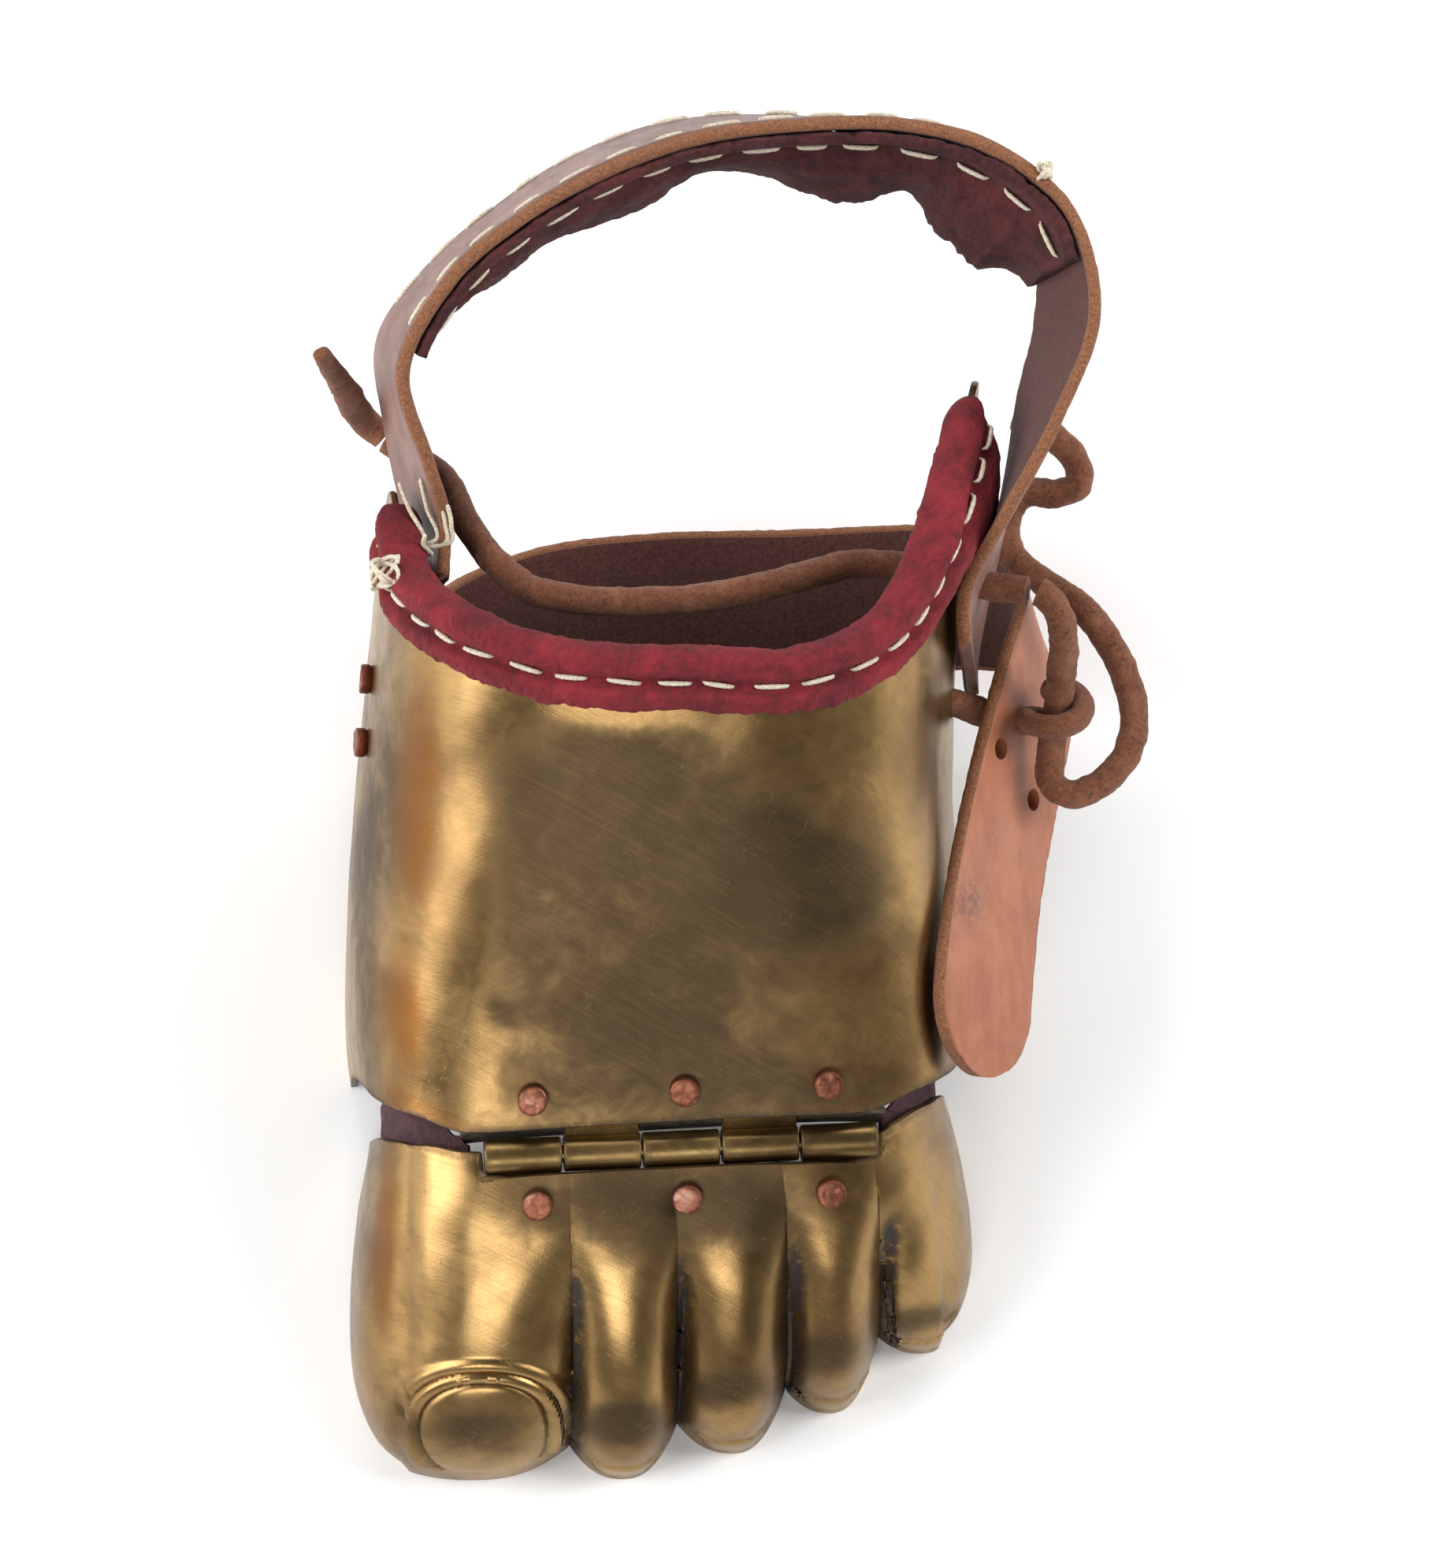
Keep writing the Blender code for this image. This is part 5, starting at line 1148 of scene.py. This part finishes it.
def drill(obj, spots, radius, reach):
    """Cuts a round bore at each (point, direction) and applies it."""
    build = bmesh.new()
    for point, direction in spots:
        turn = UP.rotation_difference(direction).to_matrix().to_4x4()
        bmesh.ops.create_cone(build, cap_ends=True, segments=40, radius1=radius, radius2=radius,
                              depth=2 * reach, matrix=Matrix.Translation(point) @ turn)
    mesh = bpy.data.meshes.new("bores")
    build.to_mesh(mesh)
    build.free()
    bores = bpy.data.objects.new("bores", mesh)
    bpy.context.scene.collection.objects.link(bores)
    cut = obj.modifiers.new("bores", "BOOLEAN")
    cut.operation = "DIFFERENCE"
    cut.solver = "EXACT"
    cut.object = bores
    graph = bpy.context.evaluated_depsgraph_get()
    drilled = bpy.data.meshes.new_from_object(obj.evaluated_get(graph))
    obj.modifiers.clear()
    obj.data = drilled
    bpy.data.objects.remove(bores)


def ankle_strap_skin(shader):
    stations = ankle_stations(330)
    centre = shared_point(STRAP_CENTRE)

    def outward(run, unit, middle):
        side = unit.cross(run)
        return side if side.dot(middle - centre) > 0 else -side

    obj = strap_skin("ankle_strap_skin", stations, outward, STRAP_WIDTH, STRAP_SEEN, [1.0] * len(stations))
    return settle(obj, shader, "instep", ("ankle_strap",))


def heel_strap_skin(shader):
    stations = heel_stations(300)
    lengths = path_lengths([middle for middle, _across in stations])
    half = HEEL_STRAP_WIDTH / 2
    narrowing = []
    for place in lengths:
        left = lengths[-1] - place
        narrowing.append(math.sqrt(max(1.0 - max(1.0 - left / half, 0.0) ** 2, 0.004)))
    tip = stations[-1]
    rounding = 0.16 * half
    kept = sum(1 for place in lengths if lengths[-1] - place > rounding)
    rounded, narrowing = stations[:kept], narrowing[:kept]
    for k in range(1, 13):
        left = rounding * (1 - math.sin(math.pi / 2 * k / 12))
        rounded.append([stations[kept - 1][0].lerp(tip[0], 1 - left / rounding), tip[1]])
        narrowing.append(math.sqrt(max(1.0 - (1.0 - left / half) ** 2, 0.004)))
    stain = ((1589, 1121, 17, 28, 8, 1.0), (1612, 1060, 8, 30, 10, 0.35), (1640, 1075, 7, 12, 10, 0.5))
    obj = strap_skin("heel_strap_skin", rounded, lambda run, unit, _middle: unit.cross(run), HEEL_STRAP_WIDTH,
                     HEEL_STRAP_THICKNESS, narrowing, stain)
    spots = []
    coarse = heel_stations(46)
    for share, across_share in TONGUE_HOLES:
        index = int(share * (len(coarse) - 1))
        middle, across = coarse[index]
        spots.append((middle + across * across_share * HEEL_STRAP_WIDTH,
                      across.cross(middle - coarse[index - 1][0]).normalized()))
    drill(obj, spots, HOLE_RADIUS, 3 * MM)
    return settle(obj, shader, "instep", ("heel_strap",))


def closed_smooth(ring, count):
    """count points of a smooth closed curve through the ring's points."""
    total = len(ring)
    result = []
    for i in range(count):
        place = total * i / count
        k = int(place)
        result.append(between(*(ring[(k + step) % total] for step in (-1, 0, 1, 2)), place - k))
    return result


def pad_frames():
    """Places along the lining: (base, unit across, inward, fullness)."""
    stations = ankle_stations(540)
    chosen = stations[int(PAD_FROM * len(stations)):int(PAD_TO * len(stations))]
    frames = []
    for index, (middle, across) in enumerate(chosen):
        before = chosen[max(index - 1, 0)][0]
        after = chosen[min(index + 1, len(chosen) - 1)][0]
        unit = across.normalized()
        inward = unit.cross(after - before).normalized()
        if inward.dot(shared_point(STRAP_CENTRE) - middle) < 0:
            inward = -inward
        share = index / (len(chosen) - 1)
        end = min(share, 1 - share) * 22.0
        full = min(1.0, 0.30 + 0.35 * end) * curve_value(PUCKERS, share)
        frames.append((middle + inward * (STRAP_SEEN / 2 + FIT), unit, inward, full))
    return frames


def lining_skin(shader):
    half = STRAP_WIDTH / 2
    sections = []
    for base, unit, inward, full in pad_frames():
        ring = [base + unit * half * up + inward * out for up, out in (
            (0.86, 0.0), (0.955, PAD_THIN * 0.5), (0.84, PAD_THIN), (0.55, PAD_THIN * 0.95),
            (0.2, PAD_THIN + 0.42 * PAD_THICK * full), (-0.55, PAD_THICK * full),
            (-0.88, PAD_THICK * full * 0.93), (-1.0, PAD_THICK * full * 0.6), (-0.96, 0.4 * PAD_THIN),
            (-0.86, 0.0), (0.0, 0.0))]
        sections.append([tuple(point) for point in closed_smooth(ring, 56)])
    sections = np.array(sections)
    flat, away = from_middle(sections)
    outward = unit_rows(away)
    far = np.clip((np.linalg.norm(away, axis=1) - 3 * MM) / (8 * MM), 0.0, 1.0)
    lumps = rumple(flat, 6 * MM, 0.7 * MM, 4.0) + rumple(flat, 2.6 * MM, 0.55 * MM, 2.0) * (0.4 + far)
    flat = flat + outward * (lumps + rumple(flat, 1.1 * MM, 0.40 * MM, 7.0) * (0.5 + far))[:, None]
    obj = tubes("ankle_strap_lining_skin", [flat.reshape(sections.shape)], sharp=180.0)
    return settle(obj, shader, "instep", ("ankle_strap_lining",))


def outer_spot(around, along):
    """Point of the instep's middle surface and the normal on its outer side."""
    point, normal = surface_normal(instep_surface, around, along)
    return point, -normal


def trim_place(around):
    """Function from (distance down from the rear edge, offset) to a point, at one place round the arch."""
    step, below = 0.004, 0.02
    edge, normal = outer_spot(around, 1.0)
    run = (instep_surface(around + step, 1.0) - instep_surface(around - step, 1.0)).normalized()
    inward = normal.cross(run).normalized()
    if inward.dot(instep_surface(around, 1.0 - below) - edge) < 0:
        inward = -inward
    ahead = instep_surface(around + step, 1.0 - below / 2)
    across = (ahead - instep_surface(around - step, 1.0 - below / 2)) / (2 * step)
    back = (edge - instep_surface(around, 1.0 - below)) / below
    aa, ab, bb = across.dot(across), across.dot(back), back.dot(back)
    da, db = inward.dot(across), inward.dot(back)
    determinant = aa * bb - ab * ab
    a = (da * bb - db * ab) / determinant
    b = (db * aa - da * ab) / determinant

    def spot(distance, offset):
        if distance <= 0:
            return edge + inward * distance + normal * offset
        point, local = outer_spot(around + a * distance, 1.0 + b * distance)
        return point + local * offset

    return spot


def on_ear(around):
    """How far the trim has come up the lateral ear, where it is fuller and its stitches lie on top."""
    return smooth_step(0.72, 0.80, around)


def stitch_line(around):
    return STITCH_LINE + (STITCH_LINE_ON_EAR - STITCH_LINE) * on_ear(around)


def trim_height(distance, wide, around):
    """Thickness of the trim's outer side: two soft rolls with the stitch line sunk between them."""
    crease = 0.62 * math.exp(-((distance - stitch_line(around)) / ((1.1 + 0.9 * on_ear(around)) * MM)) ** 2)
    turned = max((distance / wide - 0.66) / 0.34, 0.0)
    return TRIM_FULL * (1.0 + 0.8 * on_ear(around)) * (1.0 - crease) * math.sqrt(max(1.0 - turned ** 2, 0.0))


def trim_skin(shader):
    inner = PLATE_WALL / 2 + FIT
    roll = TRIM_THICKNESS * 0.85
    sections = []
    for number, around in enumerate(spread(TRIM_FROM, TRIM_TO, TRIM_SECTIONS)):
        spot = trim_place(around)
        ending = max(1.0 - min(number, TRIM_SECTIONS - 1 - number) / 8.0, 0.0)
        full = math.sqrt(max(1.0 - ending ** 2, 0.02))
        wave = 1.0 + 0.07 * noise.noise(Vector((around * 55.0, 0.0, 2.0)))
        wave += 0.04 * noise.noise(Vector((around * 190.0, 5.0, 0.0)))
        wide = (TRIM_WIDE + 3.0 * MM * on_ear(around)) * wave * (0.7 + 0.3 * full)
        outer = inner + trim_height(0.0, wide, around) * full
        section = []
        for share in spread(1.0, 0.0, 34):
            section.append(spot(share * wide, inner + trim_height(share * wide, wide, around) * full))
        for degrees in spread(75, -75, 11):
            angle = math.radians(degrees)
            side = outer if degrees > 0 else inner + TRIM_FULL * full
            section.append(spot(-roll * full * math.cos(angle), side * math.sin(angle)))
        for share in spread(0.0, 1.0, 14):
            turned = max((share - 0.8) / 0.2, 0.0)
            bulge = TRIM_FULL * full * math.sqrt(1.0 - turned ** 2)
            section.append(spot(share * TRIM_WIDE_INSIDE, -inner - bulge))
        for share in (0.75, 0.4):
            section.append(spot(share * TRIM_WIDE_INSIDE, -inner))
        section += [spot(-FIT, -inner), spot(-FIT, inner)]
        for share in (0.3, 0.6, 0.85):
            section.append(spot(share * wide, inner))
        sections.append([tuple(point) for point in section])
    sections = np.array(sections)
    flat, away = from_middle(sections)
    outward = unit_rows(away)
    seen = sections.shape[1] - TRIM_AGAINST_PLATE
    soft = np.tile([1.0] * seen + [0.0] * TRIM_AGAINST_PLATE, len(sections))
    fluff = rumple(flat, 4.5 * MM, 0.35 * MM, 4.0) + rumple(flat, 1.0 * MM, 0.30 * MM, 7.0)
    flat = flat + outward * (fluff * soft)[:, None]
    obj = tubes("collar_trim_skin", [flat.reshape(sections.shape)], sharp=180.0)
    return settle(obj, shader, "instep", ("collar_trim",))


def stitch_sections(start, end, up, radius=0.5 * MM, lift=0.25 * MM, dip=0.8 * MM):
    """One thread stitch that rises a little between its two holes and is fullest in the middle."""
    points, radii = [], []
    for share in spread(0.0, 1.0, 13):
        arc = math.sin(math.pi * share)
        points.append(start.lerp(end, share) + up * (lift * arc ** 0.6 - dip * (1 - arc) ** 6))
        radii.append(radius * (0.5 + 0.5 * arc ** 0.5) * (1.0 + 0.08 * math.sin(31.0 * share)))
    return tube_sections(points, radii, 10, flatness=0.75, twist=0.5)


def stitch_row(line, draw, first_place, last_gap, lengths, gaps, sway, shape):
    """Stitches of varied length along a line of (point, outward direction), as lofts."""
    run = path_lengths([point for point, _up in line])
    parts = []
    place = first_place
    while place < run[-1] - last_gap:
        long = draw.uniform(*lengths) * MM
        start, up = line[min(range(len(run)), key=lambda i: abs(run[i] - place))]
        end = line[min(range(len(run)), key=lambda i: abs(run[i] - place - long))][0]
        if sway:
            aside = (end - start).cross(up).normalized() * draw.uniform(-sway, sway) * MM
            start, end = start + aside, end - aside
        parts.append(stitch_sections(start, end, up.normalized(), *shape))
        place += long + draw.uniform(*gaps) * MM
    return parts


def trim_stitches(shader):
    line = []
    for around in spread(TRIM_FROM + STITCH_MARGIN, TRIM_TO - STITCH_MARGIN, 900):
        spot = trim_place(around)
        drop = stitch_line(around)
        lift = trim_height(drop, TRIM_WIDE, around) + (0.5 + 0.9 * on_ear(around)) * MM
        line.append((spot(drop, PLATE_WALL / 2 + FIT + lift), spot(drop, 8 * MM) - spot(drop, 0.0)))
    parts = stitch_row(line, random.Random(4), 0.5 * MM, 6 * MM, (4.6, 6.4), (1.6, 3.4), 0.3, ())
    return settle(tubes("trim_stitches", parts), shader, "instep")


def lining_stitches(shader):
    """Stitches through the ankle strap: one row on its lining and two along the edges of its outer face."""
    frames = pad_frames()
    lines = [[(base + unit * STRAP_WIDTH / 2 * 0.60 + inward * (PAD_THIN + 0.35 * MM), inward)
              for base, unit, inward, _full in frames]]
    for level in (0.40, -0.40):
        lines.append([(base - inward * (STRAP_SEEN + FIT + 0.2 * MM) + unit * STRAP_WIDTH * level, -inward)
                      for base, unit, inward, _full in frames])
    draw = random.Random(9)
    shape = (0.48 * MM, 0.1 * MM, 0.35 * MM)
    parts = []
    for line in lines:
        parts += stitch_row(line, draw, 4 * MM, 8 * MM, (5.4, 7.4), (2.2, 3.8), 0.0, shape)
    return settle(tubes("lining_stitches", parts), shader, "instep")


def toe_lining_skins(shader):
    """Torn leather inside the toe plate, standing out behind its rear edge on each side of the hinge."""
    offset = PLATE_WALL / 2 + 2 * FIT + TOE_LINING_THICKNESS / 2
    sides = (("toe_lining_medial", 0.04, LINING_STOP), ("toe_lining_lateral", LINING_LATERAL_START, 0.96))
    for name, low, high in sides:
        rows = []
        for around in spread(low, high, 110):
            rear = toe_rear_point(around)
            first, normal = surface_normal(toe_surface, around, LINING_FIRST)
            second, second_normal = surface_normal(toe_surface, around, LINING_SECOND)
            fullness = math.sin(math.pi * (around - low) / (high - low))
            reach = LINING_BEHIND * (LINING_SHY + (1 - LINING_SHY) * fullness)
            reach += 0.7 * MM * noise.noise(Vector((around * 60.0, 3.0, 1.0)))
            lowered = rear - normal * offset
            row = [lowered + Vector((0.0, reach * share, 0.0)) for share in spread(1.0, 0.0, 10)]
            row += [lowered.lerp(first - normal * offset, 0.5), first - normal * offset]
            row.append(second - second_normal * offset)
            rows.append(row)
        grid = grid_of(rows)
        normal = normals_of(grid, grid - np.array((0.0, 60.0, 0.0)) * MM)
        lumps = rumpled(grid, 3 * MM, 0.25 * MM, 2.0)
        obj = shell(name + "_skin", grid + normal * lumps[..., None], normal, TOE_LINING_THICKNESS, {})
        settle(obj, shader, "toe", (name,))


def thong(name, points, radii, flatness=0.86):
    """Cut leather thong: a slightly flat tube with a rough skin."""
    sections = tube_sections(points, radii, 16, flatness)
    flat = sections.reshape(-1, 3)
    middle = np.repeat(np.array([tuple(p) for p in points]), 16, 0)
    outward = flat - middle
    flat = flat + outward * (rumple(flat, 3.0 * MM, 0.10, 2.0) + rumple(flat, 1.0 * MM, 0.06, 5.0))[:, None]
    return tubes(name, [flat.reshape(sections.shape)], sharp=70.0)


def held_lace(shader):
    for name, table, count in (("lace_run", LACE_RUN, 170), ("lace_bar", LACE_BAR, 40)):
        piece = thong(name + "_skin", route(table, count), LACE_RADIUS)
        settle(piece, shader, "instep", (name,))


def declared_cord(points):
    world = [point + SHIFT for point in points]
    length = path_lengths(world)[-1]
    tuple(world[0])
    [tuple(point) for point in world]


def knot_skin(shader):
    """The thong's turn round itself: one slanting wrap and the bulge below it."""
    middle = shared_point(KNOT_MIDDLE)
    down = Vector((-0.07, -0.71, -0.70)).normalized()
    out = Vector((1.0, 0.0, 0.0)).cross(down).normalized()
    if out.z < 0:
        out = -out
    right = down.cross(out).normalized()
    if right.x < 0:
        right = -right
    points = []
    for share in spread(0.0, 1.0, 60):
        angle = math.radians(-140 + 430 * share)
        ring = (1.2 + 3.5 * min(1.0, 5 * share, 5 * (1 - share))) * MM
        points.append(middle + out * 1.2 * MM + down * (-4.2 + 8.2 * share) * MM
                      + (right * math.cos(angle) + out * math.sin(angle)) * ring)
    knot = thong("lace_knot_skin", points, 2.35 * MM)
    return settle(knot, shader, "instep", ("lace_knot",))


def free_lace(shader):
    knot = knot_skin(shader)
    points = route(LACE_STRAND + ((1.250, 0.5585, 0.545),) + LACE_LOOP, 330)
    loop = thong("lace_free", points, LACE_RADIUS)
    declared_cord(points)
    settle(loop, shader, "instep", ("lace_strand", "lace_loop"))
    points = route(LACE_END, 70)
    radii = [LACE_RADIUS * (1.0 - 0.42 * max(0.0, (i / 69 - 0.55) / 0.45)) for i in range(70)]
    end = thong("lace_short_end", points, np.array(radii), 0.7)
    declared_cord(points)
    settle(end, shader, "instep", ("lace_end",))


def thread_ends(shader):
    """Loose thread ends at the trim's medial end, and the knots of the stitching on the outer side."""
    parts = []
    base = trim_place(TRIM_FROM + 0.022)(3.0 * MM, 3.6 * MM)
    tips = (((1040, 762), (1026, 728), (1016, 702)), ((1052, 760), (1044, 728), (1037, 698)),
            ((1058, 765), (1062, 742), (1056, 722)), ((1062, 764), (1068, 744), (1064, 724)),
            ((1046, 774), (1040, 764), (1042, 754)))
    for seen in tips:
        points = [base]
        points += [seen_on_height(x, y, base.z + (2.0 + 2.4 * k) * MM) for k, (x, y) in enumerate(seen)]
        smooth = [point for (point,) in catmull([[point] for point in points], 24)]
        parts.append(tube_sections(smooth, THREAD_RADIUS, 9, 0.75, 0.5))
    bundles = ((seen_on_height(1002, 792, 84 * MM), 2.3),
               (trim_place(TRIM_TO - 0.03)(9.6 * MM, 3.4 * MM), 1.3),
               (ankle_stations(100)[66][0] + UP * 15.5 * MM, 1.1))
    for number, (middle, size) in enumerate(bundles):
        draw = random.Random(number + 30)
        for _strand in range(5):
            phase = [draw.uniform(0, 6.28) for _axis in range(3)]
            rate = [draw.uniform(1.0, 2.4) for _axis in range(3)]
            points = []
            for t in spread(0.0, 4.0, 26):
                turned = Vector([math.sin(phase[axis] + rate[axis] * t) for axis in range(3)])
                points.append(middle + turned * size * MM)
            parts.append(tube_sections(points, THREAD_RADIUS, 8, 0.8, 0.5))
    return settle(tubes("thread_ends", parts), shader, "instep")


def add_camera():
    data = bpy.data.cameras.new("camera")
    camera = bpy.data.objects.new("camera", data)
    bpy.context.scene.collection.objects.link(camera)
    aim = (CAMERA_FORWARD + Vector(((FRAMED_MIDDLE[0] - SEEN_MIDDLE[0]) / SEEN_FOCUS, 0.0, 0.0))
           + CAMERA_UP * ((SEEN_MIDDLE[1] - FRAMED_MIDDLE[1]) / SEEN_FOCUS)).normalized()
    right = aim.cross(CAMERA_UP).normalized()
    top = right.cross(aim).normalized()
    turn = Matrix((right, top, -aim)).transposed().to_4x4()
    camera.matrix_world = Matrix.Translation(CAMERA_PLACE + SHIFT) @ turn
    data.lens = SEEN_FOCUS / SEEN_HEIGHT * SENSOR * CLOSER
    data.sensor_width = SENSOR
    data.clip_start = 0.05
    data.clip_end = 20.0
    bpy.context.scene.camera = camera


def area_light(name, place, aim, size, power):
    data = bpy.data.lights.new(name, "AREA")
    data.shape = "RECTANGLE"
    data.size, data.size_y = size
    data.energy = power
    light = bpy.data.objects.new(name, data)
    bpy.context.scene.collection.objects.link(light)
    light.location = place
    light.rotation_euler = (Vector(aim) - Vector(place)).to_track_quat("-Z", "Y").to_euler()


def add_studio():
    world = bpy.data.worlds.new("studio")
    bpy.context.scene.world = world
    world.use_nodes = True
    tree = world.node_tree
    direction = tree.nodes.new("ShaderNodeTexCoord")
    parts = tree.nodes.new("ShaderNodeSeparateXYZ")
    height = tree.nodes.new("ShaderNodeMapRange")
    tree.links.new(direction.outputs["Generated"], parts.inputs[0])
    tree.links.new(parts.outputs["Z"], height.inputs["Value"])
    for key, value in (("From Min", 0.15), ("From Max", 0.85), ("To Min", 0.34), ("To Max", 0.10)):
        height.inputs[key].default_value = value
    tree.nodes["Background"].inputs["Color"].default_value = (1.0, 1.0, 1.0, 1.0)
    tree.links.new(height.outputs["Result"], tree.nodes["Background"].inputs["Strength"])
    area_light("left", (-1.10, -0.10, 0.70), (0.0, 0.0, 0.03), (0.9, 1.3), 20.0)
    area_light("right", (1.10, 0.10, 0.75), (0.0, 0.0, 0.03), (0.6, 1.0), 16.0)
    area_light("front", (-0.25, -1.15, 1.05), (0.0, -0.05, 0.02), (0.8, 0.5), 8.0)
    area_light("back", (0.05, 1.05, 0.95), (0.0, 0.0, 0.04), (1.2, 0.4), 9.0)
    mesh = bpy.data.meshes.new("floor")
    mesh.from_pydata([(-4, -4, 0), (4, -4, 0), (4, 4, 0), (-4, 4, 0)], [], [(0, 1, 2, 3)])
    floor = bpy.data.objects.new("floor", mesh)
    bpy.context.scene.collection.objects.link(floor)
    s = Shader("floor")
    mesh.materials.append(s.finish((0.86, 0.86, 0.86), 0.75))
    bpy.context.scene.view_settings.view_transform = "Standard"


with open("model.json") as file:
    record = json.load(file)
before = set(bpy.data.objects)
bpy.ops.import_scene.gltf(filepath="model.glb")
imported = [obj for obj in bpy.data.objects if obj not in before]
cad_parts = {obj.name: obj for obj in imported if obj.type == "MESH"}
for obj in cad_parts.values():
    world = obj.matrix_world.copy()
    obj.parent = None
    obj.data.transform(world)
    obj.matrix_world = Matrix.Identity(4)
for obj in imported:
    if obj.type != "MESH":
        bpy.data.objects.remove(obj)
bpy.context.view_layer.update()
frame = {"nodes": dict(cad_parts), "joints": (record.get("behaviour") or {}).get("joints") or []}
SHIFT = Vector(frame["joints"][0]["pos_m"]) - hinge_frame()[0]
add_camera()
lace = lace_leather()
free_lace(lace)
held_lace(lace)
plate_brass = brass("plate_brass", (0.37, 0.232, 0.092), (0.21, 0.125, 0.050), 0.28)
hinge_brass = brass("hinge_brass", (0.31, 0.205, 0.080), (0.14, 0.088, 0.036), 0.34)
instep_skin(plate_brass)
toe_skin(plate_brass)
leaf_skin("hinge_leaf_instep", instep_height, 1, 1, "instep", 0.0, hinge_brass)
leaf_skin("hinge_leaf_toe", toe_height, -1, 0, "toe", TOE_LEAF_SLACK, hinge_brass)
frame["nodes"]["hinge_pin"].data.materials.clear()
frame["nodes"]["hinge_pin"].data.materials.append(hinge_brass)
copper_red = copper()
hinge_rivet_skins(copper_red)
side_rivet_skins(copper_red)
# The ankle leather's greyish dust colour also stands in for the sheen on the strap's outer face, as painted
# highlight.
ankle_strap_skin(strap_leather("ankle_leather", (0.21, 0.095, 0.068), (0.12, 0.048, 0.032),
                               (0.24, 0.155, 0.135)))
heel_strap_skin(strap_leather("heel_leather", (0.37, 0.125, 0.056), (0.27, 0.080, 0.032), (0.31, 0.13, 0.08)))
lining_skin(suede("burgundy_suede", (0.100, 0.018, 0.018), (0.024, 0.005, 0.006), 900.0, 0.07))
toe_lining_skins(suede("toe_lining", (0.095, 0.040, 0.045), (0.035, 0.014, 0.017), 1300.0, 0.05))
trim_skin(suede("red_suede", (0.235, 0.013, 0.021), (0.075, 0.004, 0.008), 900.0, 0.10))
thread = thread_cotton()
trim_stitches(thread)
lining_stitches(thread)
thread_ends(thread)
add_studio()


bpy.context.view_layer.update()
